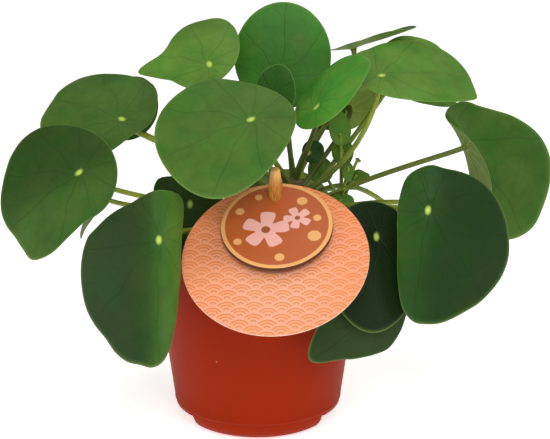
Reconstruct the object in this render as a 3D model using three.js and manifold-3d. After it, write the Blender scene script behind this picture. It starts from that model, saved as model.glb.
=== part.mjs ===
// Potted Chinese money plant: long-stalked round leaves on one short trunk, in a plastic nursery pot
// with a round card label on a wooden peg. Millimetres, +Z up, front towards -Y, +X to the right.
// The origin is the middle of the pot's underside.
import * as THREE from "three";
import { mergeVertices } from "three/addons/utils/BufferGeometryUtils.js";
import Module from "manifold-3d";

const wasm = await Module();
wasm.setup();

// Driving dimensions

const GAP = 0.3; // air left between two pieces that touch

const POT = {
  rimRadius: 60.5,
  height: 108,
  collarDrop: 11, // height of the thickened band under the rim
  collarStep: 2, // how far the band stands out of the wall
  wallFootRadius: 46.5, // outer radius of the wall where it turns in above the foot
  wallFootHeight: 8.5,
  footRadius: 37, // radius of the flat foot that stands on the table
  footRound: 8.5, // radius of the curve from the foot up into the wall
  wall: 1.8,
  floor: 2.5,
  sides: 40,
};

const DRAIN = {
  recessFrom: 53, // degrees either side of the front where the foot is cut back
  recessTo: 127,
  recessRadius: 36,
  holeRadius: 3,
  holeRing: 43.2,
  holesPerSide: 3,
};

const SOIL = { top: 98, mound: 3, sides: 28 };

const TRUNK = {
  foot: [18, 22, 72],
  head: [20.5, 18.5, 132],
  footRadius: 7,
  headRadius: 5,
  ringPitch: 9, // distance between the leaf-scar rings
  ringSwell: 0.5,
};

const LABEL = {
  cardRadius: 49.4,
  cardThickness: 1,
  tilt: 35.5, // degrees between the card and the level
  faces: -96.4, // compass direction the printed side leans to
  fromRim: [16.4, 4.4], // card centre from the point where it lies on the rim: across, and up the card
  discRadius: 29.7,
  discThickness: 2.5,
  discHinge: [-0.6, 47.4], // top edge of the disc on the card, measured from the card's centre
  discLift: 3.5, // degrees by which the disc's lower edge stands off the card
};

const PEG = {
  base: [9.9, -29.9, 136.7], // where its axis leaves the disc
  lean: 26, // degrees from straight up, towards the front
  radius: 3.7,
  straight: 9, // length above the disc before the taper
  taper: 10.5,
  tipRadius: 2.1,
  below: 62, // length under the disc, down into the soil
  point: 8, // length of the short taper at its foot
};

const BLADE = { thickness: 0.8, rings: [0.36, 0.7, 1], spokes: 24, sectionSteps: 12 };
const PETIOLE = { radius: 1.7, sides: 6, steps: 7 };

// Every leaf is given by the place where its petiole meets the blade (at), the angle between the
// upper side's normal and straight up (tilt), the compass direction the upper side leans to (faces,
// 0 is +X and 90 is +Y) and the direction of the tip in the blade's plane, from straight downhill (tip).
// ahead and aside shift the blade off its petiole by a share of its length and width. egg narrows the
// tip end. droop is how far the edge has turned down at the tip, base, left and right, in degrees.
// folds are [degrees, distance off the midrib, half width], and lobes [direction, length, half angle].
// node is the petiole's height on the trunk, rise turns its first stretch up, swing turns it about the
// trunk and arch is its share of the reach, and arrive is how soon the petiole straightens into the blade.
const LEAVES = [
  // round the front, from the crown down
  { name: "leaf_01", at: [13, 34, 186], tilt: 80, faces: -95, tip: 178, length: 60, width: 55,
    ahead: 0.22, egg: 0.02, droop: [10, 5, 12, 12], node: 125, rise: 0.4, arrive: 0.25 },
  { name: "leaf_02", at: [-26, 5, 201], tilt: 42, faces: -115, tip: -139, length: 50, width: 44,
    ahead: 0.24, aside: 0.06, droop: [15, 15, 15, 25],
    lobes: [[76, 20, 13], [-62, 7, 30], [0, 3.5, 25], [120, -2, 25]], node: 124, rise: 0.2,
    arrive: 0.3 },
  { name: "leaf_03", at: [-75, 15, 168], tilt: 33, faces: -104, tip: -110, length: 72, width: 65,
    ahead: 0.27, droop: [20, 20, 20, 10],
    lobes: [[-50, 4.5, 20], [6, -4.5, 20], [160, -4.5, 22], [-125, 3, 14]], node: 118, rise: 0.2,
    arrive: 0.15 },
  { name: "leaf_04", at: [-78.2, 48, 159.5], tilt: 60, faces: -100, tip: 160, length: 40, width: 36,
    ahead: 0.2, droop: [12, 10, 15, 15], node: 113, rise: 0.2, arrive: 0.3 },
  { name: "leaf_05", at: [-96, -20, 147], tilt: 54, faces: -110, tip: -45, length: 72, width: 65,
    ahead: 0.2, aside: -0.05, droop: [15, 15, 10, 15],
    lobes: [[48, 10, 20], [88, -4, 20], [-90, 10, 31]], node: 104, rise: 0.02, arrive: 0.3 },
  { name: "leaf_06", at: [-50, -74, 126], tilt: 78, faces: -73, tip: -4, length: 92, width: 70,
    ahead: 0.23, aside: -0.25, droop: [10, 25, 10, 15], folds: [[76, 0, 5]],
    lobes: [[152, 5, 20], [135, 16, 12], [52, 8, 22], [72, -4, 20], [-75, -1.8, 40], [-135, -6, 32],
      [-178, -3.5, 24], [-30, -4.5, 20], [32, 3.5, 15]], node: 101, rise: 0.2, arrive: 0.35 },
  { name: "leaf_07", at: [-3, -34, 180], tilt: 39, faces: -98, tip: -60, length: 77, width: 72,
    ahead: 0.18, egg: -0.28, droop: [10, 20, 15, 10], lobes: [[-97, 4, 20]], node: 122, rise: 0.4,
    arrive: 0.3 },
  { name: "leaf_08", at: [10, 4, 183], tilt: 80, faces: -110, tip: 175, length: 30, width: 24,
    ahead: 0.1, droop: [0, 0, -20, -20], node: 132, rise: 0.4, arrive: 0.2 },
  { name: "leaf_09", at: [32, -10, 181], tilt: 49, faces: -152, tip: 169, length: 53, width: 45,
    ahead: 0.22, aside: 0.07, droop: [15, 10, 10, 10], node: 126, rise: 0.3, arrive: 0.12 },
  { name: "leaf_10", at: [52, 57, 164], tilt: 84, faces: 103, tip: 200, length: 34, width: 35,
    ahead: 0.1, droop: [10, 10, 10, 10], lobes: [[108, -5.5, 38]], node: 120, swing: 14, rise: -0.3,
    arrive: 0.3 },
  { name: "leaf_11", at: [68, 9, 194], tilt: 24, faces: -72, tip: 96, length: 74, width: 60,
    ahead: 0.3, aside: 0.06, droop: [22, 10, 0, 20],
    lobes: [[-46, 6, 18], [-105, -4.5, 30], [30, 3.5, 35], [90, -3.5, 20], [118, -6, 22]], node: 121,
    swing: -8, arch: 0.6, rise: -0.5, arrive: 0.12 },
  { name: "leaf_12", at: [54, 54, 200], tilt: 19, faces: 140, tip: -125, length: 52, width: 40,
    ahead: 0.25, droop: [-8, -15, -15, -15], lobes: [[-110, 3, 25]], node: 129, rise: 0, arrive: 0.2 },
  { name: "leaf_13", at: [115, 5, 155], tilt: 65, faces: 25, tip: 0, length: 76, width: 76,
    ahead: 0.25, aside: 0.26, droop: [35, 20, -20, 10], lobes: [[140, -12, 28], [40, 4.3, 18]],
    folds: [[-110, 12, 5]], node: 111, rise: 0.25, arrive: 0.08 },
  { name: "leaf_14", at: [90, -51, 135], tilt: 75, faces: -95, tip: -6, length: 84, width: 62,
    ahead: 0.22, aside: 0.23, droop: [10, 20, 10, 20],
    lobes: [[-140, 8, 20], [-80, -4, 20], [-42, 5, 14], [-26, 3, 14], [24, -3.2, 22], [84, 3.2, 22]],
    folds: [[20, 0, 4]], node: 116, rise: 0.06, arrive: 0.3 },
  { name: "leaf_15", at: [64, -37, 116], tilt: 60, faces: -70, tip: -12, length: 72, width: 54,
    ahead: 0.22, aside: -0.02, droop: [10, 10, 10, 10], node: 106, rise: 0.2, arrive: 0.1 },
  { name: "leaf_16", at: [68, -46, 82], tilt: 80, faces: -65, tip: -58, length: 66, width: 39,
    ahead: 0.28, egg: 0.25, droop: [10, 10, 10, 10], lobes: [[105, 4, 18], [38, -5.5, 28]], node: 112,
    swing: -19, arch: 0.75, rise: 1.1, arrive: 0.02 },
  // small and shaded ones inside
  { name: "leaf_17", at: [39, 40, 162], tilt: 75, faces: -80, tip: 155, length: 22, width: 19,
    ahead: 0.2, droop: [10, 10, 10, 10], node: 123, swing: 50, rise: 0.2, arrive: 0.2 },
  { name: "leaf_18", at: [27.4, 15.5, 148.2], tilt: 75, faces: -80, tip: 100, length: 13, width: 13,
    ahead: 0.3, droop: [10, 10, 10, 10], node: 115, swing: -14, rise: 0.1, arrive: 0.1 },
  { name: "leaf_19", at: [-74, 60, 86], tilt: 65, faces: 140, tip: 0, length: 56, width: 50,
    ahead: 0.2, droop: [15, 15, 15, 15], node: 126, arch: 0.6, swing: -20, rise: 1.1, arrive: 0.1 },
  { name: "leaf_20", at: [-37, -6, 125], tilt: 70, faces: -100, tip: 0, length: 40, width: 38,
    ahead: 0.1, droop: [10, 10, 10, 10], lobes: [[-130, 6.5, 20]], node: 115, rise: 0.2,
    arrive: 0.25 },
  // round the back
  { name: "leaf_21", at: [-91, 32, 119], tilt: 60, faces: 170, tip: 0, length: 40, width: 36,
    ahead: 0.2, droop: [15, 15, 15, 15], node: 108, rise: 0.1, arrive: 0.2 },
  { name: "leaf_22", at: [-20, 72, 141], tilt: 50, faces: 110, tip: 0, length: 64, width: 60,
    ahead: 0.2, droop: [20, 15, 15, 15], node: 123, rise: 0.2, arrive: 0.3 },
  { name: "leaf_23", at: [86, 62, 193], tilt: 45, faces: -70, tip: 34, length: 54, width: 46,
    ahead: 0.22, egg: 0.3, droop: [20, 15, 15, 15], lobes: [[-40, -2, 30], [130, -4, 30]], node: 114,
    swing: -10, rise: -0.1, arrive: 0.15 },
  { name: "leaf_24", at: [122, 66, 108], tilt: 60, faces: 35, tip: 0, length: 54, width: 56,
    ahead: 0.2, droop: [20, 15, 15, 15], node: 104, arch: 0.45, rise: 0.4, arrive: 0.15 },
  { name: "leaf_25", at: [14, 96, 102], tilt: 68, faces: 95, tip: 0, length: 66, width: 60, ahead: 0.2,
    droop: [20, 15, 15, 15], node: 119, rise: 0.7, arrive: 0.1 },
  { name: "leaf_26", at: [96, 78, 84], tilt: 62, faces: 45, tip: 0, length: 60, width: 54, ahead: 0.2,
    droop: [20, 15, 15, 15], node: 112, arch: 0.6, rise: 1, arrive: 0.1 },
];

// A young side shoot beside the trunk: thin stems with small leaves from one stub in the soil.
const PUP = {
  foot: [46, 22, 88],
  fork: [47, 21, 118], // where the stems part
  footRadius: 3,
  forkRadius: 1.8,
  stemRadius: 0.9,
  stemBow: 4, // how far a stem's middle is bowed up from the straight line
  blade: { spokes: 10, rings: [0.6, 1], droop: [8, 8, 8, 8] },
  leaves: [
    { at: [46.5, 25, 156], tilt: 70, faces: -75, tip: 180, length: 20, width: 13, ahead: 0.2 },
    { at: [47.5, 26, 147], tilt: 60, faces: -110, tip: 20, length: 15, width: 13, ahead: 0.1 },
    { at: [56, 27, 132], tilt: 20, faces: -90, tip: 90, length: 12, width: 12, ahead: 0.1 },
    { at: [48, 3, 131], tilt: 18, faces: 100, tip: 90, length: 27, width: 9, ahead: 0 },
    { at: [57, 34, 140], tilt: 30, faces: 40, tip: 40, length: 10, width: 4, ahead: 0.2 },
    { at: [51, 21, 138], tilt: 65, faces: -60, tip: -20, length: 12, width: 7, ahead: 0.2 },
    { at: [36, 37, 131], tilt: 70, faces: -80, tip: 190, length: 16, width: 15, ahead: 0.1 },
    { at: [46, 10, 122], tilt: 55, faces: -70, tip: 90, length: 15, width: 9, ahead: 0.1 },
  ],
};

const COLOUR = {
  pot: 0xa83a24,
  soil: 0x3b2a20,
  trunk: 0x6b5a3c,
  blade: 0x3f6b2c,
  petiole: 0x86a03c,
  pup: 0x5b7a34,
  card: 0xee9f80,
  disc: 0xa9582f,
  wood: 0xd9a463,
};

// Materials

const moulded = (color) => new THREE.MeshStandardMaterial({ color, roughness: 0.6, metalness: 0 });
const leafy = (color) => new THREE.MeshStandardMaterial({ color, roughness: 0.45, metalness: 0 });
const matt = (color) => new THREE.MeshStandardMaterial({ color, roughness: 0.9, metalness: 0 });

// Solids and meshes

function solidOf(geometry) {
  const loose = geometry.index ? geometry.toNonIndexed() : geometry.clone();
  loose.deleteAttribute("normal");
  loose.deleteAttribute("uv");
  const merged = mergeVertices(loose, 1e-4);
  return new wasm.Manifold(
    new wasm.Mesh({
      numProp: 3,
      vertProperties: new Float32Array(merged.attributes.position.array),
      triVerts: new Uint32Array(merged.index.array),
    }),
  );
}

function geometryOf(solid) {
  const mesh = solid.getMesh();
  const places = new Float32Array(mesh.numVert * 3);
  for (let i = 0; i < mesh.numVert; i++)
    places.set(mesh.vertProperties.subarray(i * mesh.numProp, i * mesh.numProp + 3), i * 3);
  const geometry = new THREE.BufferGeometry();
  geometry.setAttribute("position", new THREE.BufferAttribute(places, 3));
  geometry.setIndex(new THREE.BufferAttribute(new Uint32Array(mesh.triVerts), 1));
  return geometry;
}

// The largest body of a solid that a cut has left in pieces.
function mainBody(solid) {
  return solid.decompose().sort((a, b) => b.volume() - a.volume())[0];
}

function named(name, geometry, material) {
  geometry.computeVertexNormals();
  const mesh = new THREE.Mesh(geometry, material);
  mesh.name = name;
  return mesh;
}

function lathe(profile, sides) {
  const points = profile.map(([r, z]) => new THREE.Vector2(r, z));
  return new THREE.LatheGeometry(points, sides).rotateX(Math.PI / 2);
}

const degrees = THREE.MathUtils.degToRad;

// Turns a geometry that was made along +Z so that it runs from one point towards another.
function aimed(geometry, from, towards) {
  const along = towards.clone().sub(from).normalize();
  const turn = new THREE.Quaternion().setFromUnitVectors(new THREE.Vector3(0, 0, 1), along);
  return geometry.applyQuaternion(turn).translate(from.x, from.y, from.z);
}

// Frame of a tilted face: x along the tip, y to the left of it, z along the upper normal.
function faceFrame(at, tilt, faces, tip) {
  const lean = degrees(tilt), way = degrees(faces), spin = degrees(tip);
  const normal = new THREE.Vector3(
    Math.sin(lean) * Math.cos(way), Math.sin(lean) * Math.sin(way), Math.cos(lean));
  const downhill = new THREE.Vector3(
    Math.cos(lean) * Math.cos(way), Math.cos(lean) * Math.sin(way), -Math.sin(lean));
  const level = new THREE.Vector3().crossVectors(normal, downhill);
  const ahead = downhill.multiplyScalar(Math.cos(spin)).addScaledVector(level, Math.sin(spin));
  const aside = new THREE.Vector3().crossVectors(normal, ahead);
  return new THREE.Matrix4().makeBasis(ahead, aside, normal).setPosition(...at);
}

// Pot: one turned wall with a thickened band at the rim and a rounded foot, cut back on both sides
// to a recess with drain holes.

function potSolid() {
  const { rimRadius: rim, height, collarDrop, collarStep, wall, floor } = POT;
  const bandFoot = height - collarDrop;
  const wallTop = rim - collarStep;
  const footCurve = [0, 0.3, 0.6, 1].map((s) => {
    const turn = (s * Math.PI) / 2;
    return [
      POT.footRadius + POT.footRound * Math.sin(turn),
      POT.footRound * (1 - Math.cos(turn)) + 1.5 * s,
    ];
  });
  const wallInside = POT.wallFootRadius - wall;
  const profile = [
    [0, 0],
    ...footCurve,
    [wallTop, bandFoot],
    [rim - 0.4, bandFoot + 1],
    [rim, height - 1],
    [rim - 0.8, height],
    [rim - wall - 0.6, height],
    [wallTop - wall, bandFoot],
    [wallInside + 0.4, POT.wallFootHeight + 2],
    [DRAIN.recessRadius - POT.wall, POT.wallFootHeight + 2],
    [DRAIN.recessRadius - POT.wall, floor],
    [0, floor],
  ];
  let pot = solidOf(lathe(profile, POT.sides));
  for (const side of [0, 180]) pot = pot.subtract(recess(side));
  return pot;
}

// One recess with its drain holes, about the +X side and turned by a number of degrees.
function recess(turned) {
  const from = degrees(DRAIN.recessFrom - 90), to = degrees(DRAIN.recessTo - 90);
  const sector = new THREE.Shape();
  sector.absarc(0, 0, POT.rimRadius, from, to, false);
  sector.absarc(0, 0, DRAIN.recessRadius, to, from, true);
  const cut = new THREE.ExtrudeGeometry(sector, {
    depth: POT.wallFootHeight + 1, bevelEnabled: false, curveSegments: 10,
  }).translate(0, 0, -1);
  let solid = solidOf(cut.rotateZ(degrees(turned)));
  for (let i = 0; i < DRAIN.holesPerSide; i++) {
    const share = (i + 0.5) / DRAIN.holesPerSide;
    const way = from + (to - from) * share + degrees(turned);
    const hole = new THREE.CylinderGeometry(DRAIN.holeRadius, DRAIN.holeRadius, 8, 10)
      .rotateX(Math.PI / 2)
      .translate(DRAIN.holeRing * Math.cos(way), DRAIN.holeRing * Math.sin(way), POT.wallFootHeight);
    solid = solid.add(solidOf(hole));
  }
  return solid;
}

// Soil: fills the pot, slightly mounded and lumpy on top, with plain holes for what stands in it.

function soilSolid(holes) {
  const slope = (POT.rimRadius - POT.collarStep - POT.wallFootRadius)
    / (POT.height - POT.collarDrop - POT.wallFootHeight);
  const inside = (z) => POT.wallFootRadius - POT.wall + slope * (z - POT.wallFootHeight) - GAP - 0.2;
  const low = POT.wallFootHeight + 2 + GAP;
  const edge = inside(SOIL.top - 2) - 0.5;
  const rings = [1, 0.8, 0.6, 0.4, 0.2];
  const profile = [
    [0, low],
    [inside(low) - 0.6, low],
    ...rings.map((s) => [edge * s, SOIL.top - 2 * s + SOIL.mound * (1 - s)]),
    [0, SOIL.top + SOIL.mound],
  ];
  const geometry = lathe(profile, SOIL.sides);
  const places = geometry.attributes.position;
  for (let i = 0; i < places.count; i++) {
    const x = places.getX(i), y = places.getY(i), z = places.getZ(i);
    const inner = z > low + 1 && Math.hypot(x, y) < edge - 1 ? 1 : 0;
    const lumps = 0.9 * Math.sin(x * 0.31 + 1) * Math.cos(y * 0.27) + 0.5 * Math.sin(y * 0.6 + x * 0.2);
    places.setZ(i, z + inner * lumps);
  }
  let soil = solidOf(geometry);
  for (const hole of holes) soil = soil.subtract(hole);
  return mainBody(soil);
}

// Trunk: short, woody and ringed by old leaf scars. extra widens it, for the room left round it.

const trunkFoot = new THREE.Vector3(...TRUNK.foot);
const trunkHead = new THREE.Vector3(...TRUNK.head);

function trunkGeometry(extra) {
  const length = trunkHead.distanceTo(trunkFoot);
  const rings = Math.round(length / TRUNK.ringPitch);
  const profile = [[0, -extra]];
  for (let i = 0; i <= rings; i++) {
    const s = i / rings;
    const radius = TRUNK.footRadius + (TRUNK.headRadius - TRUNK.footRadius) * s + extra;
    if (i > 0) profile.push([radius, (s - 0.4 / rings) * length]);
    profile.push([radius + TRUNK.ringSwell, s * length - (i === 0 ? extra : 0)]);
  }
  profile.push([TRUNK.headRadius * 0.6 + extra, length + 2 + extra], [0, length + 3 + extra]);
  return aimed(lathe(profile, 10), trunkFoot, trunkHead);
}

function onTrunk(z) {
  return trunkFoot.clone().lerp(trunkHead, (z - trunkFoot.z) / (trunkHead.z - trunkFoot.z));
}

// Leaf blade: a point of the flat blade, u ahead of the petiole and v to its left, is bent along an
// arc lengthwise, and crosswise along a section whose angle changes with v.

const soft = (x) => Math.tanh(x);

function sectionAngle(leaf, v) {
  const [, , left, right] = leaf.droop;
  let angle = (degrees(v > 0 ? left : right) * v) / (leaf.width / 2);
  for (const [turn, at, half] of leaf.folds ?? [])
    angle += degrees(turn) * 0.5 * (soft((v - at) / half) - soft(-at / half));
  return angle;
}

function bladePoint(leaf, u, v) {
  const [tip, base] = leaf.droop;
  const bend = u > 0
    ? degrees(tip) / (leaf.length * (0.5 + leaf.ahead))
    : degrees(base) / (leaf.length * (0.5 - leaf.ahead));
  const angle = bend * u;
  const along = Math.abs(bend) < 1e-6 ? u : Math.sin(angle) / bend;
  const down = Math.abs(bend) < 1e-6 ? 0 : (1 - Math.cos(angle)) / bend;
  let across = 0, sag = 0;
  for (let i = 0; i < BLADE.sectionSteps; i++) {
    const turn = sectionAngle(leaf, (v * (i + 0.5)) / BLADE.sectionSteps);
    across += (Math.cos(turn) * v) / BLADE.sectionSteps;
    sag += (Math.sin(turn) * v) / BLADE.sectionSteps;
  }
  return new THREE.Vector3(
    along - sag * Math.sin(angle), across, -down - sag * Math.cos(angle));
}

// The flat outline: an egg-shaped ellipse about a centre that lies ahead of the petiole, with lobes.
function outlinePoint(leaf, turn) {
  const u = leaf.length * (0.5 * Math.cos(turn) + leaf.ahead);
  const v = leaf.width
    * (0.5 * Math.sin(turn) * (1 - (leaf.egg ?? 0.08) * Math.cos(turn)) + (leaf.aside ?? 0));
  let reach = 1;
  for (const [at, length, half] of leaf.lobes ?? []) {
    const off = Math.atan2(Math.sin(turn - degrees(at)), Math.cos(turn - degrees(at)));
    reach += (length / Math.hypot(u, v)) * Math.exp(-((off / degrees(half)) ** 2));
  }
  return [u * reach, v * reach];
}

function bladeGeometry(leaf, thickness) {
  const step = 0.4;
  const spokes = leaf.spokes ?? BLADE.spokes;
  const rings = leaf.rings ?? BLADE.rings;
  const upper = [], lower = [];
  const sample = (u, v) => {
    const ahead = bladePoint(leaf, u + step, v).sub(bladePoint(leaf, u - step, v));
    const left = bladePoint(leaf, u, v + step).sub(bladePoint(leaf, u, v - step));
    const normal = ahead.cross(left).normalize();
    const middle = bladePoint(leaf, u, v);
    upper.push(middle.clone().addScaledVector(normal, thickness / 2));
    lower.push(middle.clone().addScaledVector(normal, -thickness / 2));
  };
  sample(0, 0);
  for (const ring of rings)
    for (let i = 0; i < spokes; i++) {
      const [u, v] = outlinePoint(leaf, (i / spokes) * 2 * Math.PI);
      sample(u * ring, v * ring);
    }
  const at = (ring, i) => 1 + ring * spokes + (i % spokes);
  const faces = [];
  for (let i = 0; i < spokes; i++) {
    faces.push([0, at(0, i), at(0, i + 1)]);
    for (let ring = 0; ring + 1 < rings.length; ring++) {
      faces.push([at(ring, i), at(ring + 1, i), at(ring + 1, i + 1)]);
      faces.push([at(ring, i), at(ring + 1, i + 1), at(ring, i + 1)]);
    }
  }
  const count = upper.length, last = rings.length - 1;
  const index = [];
  for (const [a, b, c] of faces) index.push(a, b, c, count + a, count + c, count + b);
  for (let i = 0; i < spokes; i++) {
    const a = at(last, i), b = at(last, i + 1);
    index.push(a, count + a, count + b, a, count + b, b);
  }
  const geometry = new THREE.BufferGeometry().setFromPoints([...upper, ...lower]);
  return geometry.setIndex(index);
}

// Petiole: a slim round stalk along a curve that leaves the trunk and ends square under the blade.

function stalkGeometry(curve, radius, sides, steps) {
  const section = new THREE.Shape();
  section.absarc(0, 0, radius, 0, 2 * Math.PI);
  return new THREE.ExtrudeGeometry(section, {
    extrudePath: curve, steps, bevelEnabled: false, curveSegments: sides / 2,
  });
}

function petioleCurve(leaf, frame) {
  const from = onTrunk(leaf.node);
  const to = new THREE.Vector3().setFromMatrixPosition(frame);
  const normal = new THREE.Vector3().setFromMatrixColumn(frame, 2);
  const reach = to.distanceTo(from);
  const leave = to.clone().sub(from).normalize();
  leave.applyAxisAngle(new THREE.Vector3(0, 0, 1), degrees(leaf.swing ?? 0));
  leave.z += leaf.rise;
  leave.normalize();
  return new THREE.CubicBezierCurve3(
    from,
    from.clone().addScaledVector(leave, reach * (leaf.arch ?? 0.35)),
    to.clone().addScaledVector(normal, -reach * leaf.arrive),
    to,
  );
}

function leafMeshes(leaf, trunkRoom) {
  const frame = faceFrame(leaf.at, leaf.tilt, leaf.faces, leaf.tip);
  const blade = named(leaf.name + "_blade", bladeGeometry(leaf, BLADE.thickness), leafy(COLOUR.blade));
  frame.decompose(blade.position, blade.quaternion, blade.scale);
  const bladeRoom = bladeGeometry(leaf, BLADE.thickness + 2 * GAP).applyMatrix4(frame);
  const stalk = stalkGeometry(petioleCurve(leaf, frame), PETIOLE.radius, PETIOLE.sides, PETIOLE.steps);
  const petiole = mainBody(solidOf(stalk).subtract(trunkRoom).subtract(solidOf(bladeRoom)));
  return [blade, named(leaf.name + "_petiole", geometryOf(petiole), leafy(COLOUR.petiole))];
}

// Side shoot: every stem is sunk into the stub and into its leaf, and all of it is one body. extra
// widens the stub, for the hole in the soil.

const pupFoot = new THREE.Vector3(...PUP.foot);
const pupFork = new THREE.Vector3(...PUP.fork);
const pupAlong = pupFork.clone().sub(pupFoot).normalize();

function stubGeometry(extra) {
  const length = pupFork.distanceTo(pupFoot);
  const profile = [
    [0, -extra],
    [PUP.footRadius + extra, -extra],
    [PUP.forkRadius + extra, length + extra],
    [0, length + extra],
  ];
  return aimed(lathe(profile, 8), pupFoot, pupFork);
}

function pupSolid() {
  let solid = solidOf(stubGeometry(0));
  for (const leaf of PUP.leaves) {
    const frame = faceFrame(leaf.at, leaf.tilt, leaf.faces, leaf.tip);
    const to = new THREE.Vector3(...leaf.at);
    const half = pupFork.clone().lerp(to, 0.5).addScaledVector(pupAlong, PUP.stemBow);
    const stem = new THREE.QuadraticBezierCurve3(pupFork.clone().lerp(pupFoot, 0.1), half, to);
    solid = solid.add(solidOf(stalkGeometry(stem, PUP.stemRadius, 6, 3)));
    const blade = bladeGeometry({ ...leaf, ...PUP.blade }, BLADE.thickness);
    solid = solid.add(solidOf(blade.applyMatrix4(frame)));
  }
  return solid;
}

// Label: a thin card that lies on the rim and on the peg, and a small disc on the card.

const cardFrame = (() => {
  const way = degrees(LABEL.faces);
  const frame = faceFrame([0, 0, 0], LABEL.tilt, LABEL.faces, 90);
  const across = new THREE.Vector3().setFromMatrixColumn(frame, 0);
  const up = new THREE.Vector3().setFromMatrixColumn(frame, 1);
  const normal = new THREE.Vector3().setFromMatrixColumn(frame, 2);
  const centre = new THREE.Vector3(
    POT.rimRadius * Math.cos(way), POT.rimRadius * Math.sin(way), POT.height)
    .addScaledVector(across, LABEL.fromRim[0])
    .addScaledVector(up, LABEL.fromRim[1])
    .addScaledVector(normal, GAP + LABEL.cardThickness);
  return frame.setPosition(centre);
})();

const discFrame = cardFrame.clone()
  .multiply(new THREE.Matrix4().makeTranslation(...LABEL.discHinge, GAP))
  .multiply(new THREE.Matrix4().makeRotationX(-degrees(LABEL.discLift)))
  .multiply(new THREE.Matrix4().makeTranslation(0, -LABEL.discRadius, 0));

function roundPlate(radius, thickness, frame, from, room) {
  const outline = new THREE.Shape();
  outline.absarc(0, 0, radius, 0, 2 * Math.PI);
  const plate = new THREE.ExtrudeGeometry(outline, {
    depth: thickness, bevelEnabled: false, curveSegments: 28,
  }).translate(0, 0, from);
  return geometryOf(solidOf(plate.applyMatrix4(frame)).subtract(room));
}

const pegBase = new THREE.Vector3(...PEG.base);
const pegAlong = new THREE.Vector3(0, -Math.sin(degrees(PEG.lean)), Math.cos(degrees(PEG.lean)));

// Peg: a round stick with a long taper at its top and a short one at its foot.
function pegGeometry(extra) {
  const top = PEG.straight + PEG.taper;
  const profile = [
    [0, -PEG.below - extra],
    [PEG.tipRadius + extra, -PEG.below - extra],
    [PEG.radius + extra, -PEG.below + PEG.point],
    [PEG.radius + extra, PEG.straight],
    [PEG.tipRadius + 0.3 + extra, top - 0.8],
    [PEG.tipRadius - 0.5 + extra, top + extra],
    [0, top + extra],
  ];
  return aimed(lathe(profile, 16), pegBase, pegBase.clone().add(pegAlong));
}

// Assembly

const plant = new THREE.Group();

const trunkRoom = solidOf(trunkGeometry(GAP));
const pegRoom = solidOf(pegGeometry(GAP));
const stubRoom = solidOf(stubGeometry(GAP));

plant.add(named("pot", geometryOf(potSolid()), moulded(COLOUR.pot)));
plant.add(named("soil", geometryOf(soilSolid([trunkRoom, pegRoom, stubRoom])), matt(COLOUR.soil)));
plant.add(named("trunk", trunkGeometry(0), matt(COLOUR.trunk)));
const card = roundPlate(LABEL.cardRadius, LABEL.cardThickness, cardFrame, -LABEL.cardThickness, pegRoom);
const disc = roundPlate(LABEL.discRadius, LABEL.discThickness, discFrame, 0, pegRoom);
plant.add(named("label_card", card, matt(COLOUR.card)));
plant.add(named("label_disc", disc, matt(COLOUR.disc)));
plant.add(named("label_peg", pegGeometry(0), matt(COLOUR.wood)));

plant.add(named("pup", geometryOf(pupSolid()), leafy(COLOUR.pup)));

for (const leaf of LEAVES) plant.add(...leafMeshes(leaf, trunkRoom));

export default plant;
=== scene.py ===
# %% [markdown]
# # A potted Chinese money plant
#
# This lesson dresses a imported solid model of a house plant: round leaves on long stalks, a short
# woody trunk, potting soil, a moulded pot, and a round card label with a disc on a wooden peg.
# The solid model gives every place and size. Each cell below makes one finer surface that stands for
# a solid, and gives it a material worked out from what the real thing is made of.
#
# The first cell loads the solids.

import math

import bpy
import numpy as np
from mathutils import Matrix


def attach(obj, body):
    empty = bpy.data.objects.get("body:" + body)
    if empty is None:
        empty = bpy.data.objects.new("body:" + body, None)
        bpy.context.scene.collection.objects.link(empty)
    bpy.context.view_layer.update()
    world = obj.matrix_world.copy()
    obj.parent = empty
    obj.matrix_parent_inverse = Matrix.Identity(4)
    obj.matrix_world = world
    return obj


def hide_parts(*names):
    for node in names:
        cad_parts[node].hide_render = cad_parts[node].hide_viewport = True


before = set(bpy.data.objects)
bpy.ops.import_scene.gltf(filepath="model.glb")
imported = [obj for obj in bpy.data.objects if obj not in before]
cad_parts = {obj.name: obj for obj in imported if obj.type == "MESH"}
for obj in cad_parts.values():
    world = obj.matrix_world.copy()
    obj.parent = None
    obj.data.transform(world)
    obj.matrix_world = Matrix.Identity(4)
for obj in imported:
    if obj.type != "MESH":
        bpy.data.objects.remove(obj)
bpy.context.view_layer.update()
MM = 0.001  # Blender works in metres here, and the plant's sizes below are in millimetres

# %% [markdown]
# ## Camera
#
# The picture was taken from about a metre away with a long lens, a little above the plant: the two
# ellipses of the label and of the foot give how far it looks down, and the pot's taper gives the
# distance. A camera object could be aimed by a constraint, but a fixed place and tilt say it plainly.

# %% The camera
PICTURE_WIDTH = 550  # pixels
FOCUS_PIXELS = 1896  # focal length in pixels of the picture
SENSOR_WIDTH = 36.0
LOOKS_DOWN = math.radians(17.1)
CAMERA_PLACE = (0.0097, -1.0036, 0.423)

camera_data = bpy.data.cameras.new("camera")
camera_data.sensor_fit = "HORIZONTAL"
camera_data.sensor_width = SENSOR_WIDTH
camera_data.lens = SENSOR_WIDTH * FOCUS_PIXELS / PICTURE_WIDTH
camera_data.clip_start = 0.05
camera_data.clip_end = 50.0
camera = bpy.data.objects.new("camera", camera_data)
bpy.context.scene.collection.objects.link(camera)
camera.location = CAMERA_PLACE
camera.rotation_euler = (math.pi / 2 - LOOKS_DOWN, 0, 0)
bpy.context.scene.camera = camera
print("lens", round(camera_data.lens, 1), "mm")

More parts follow.
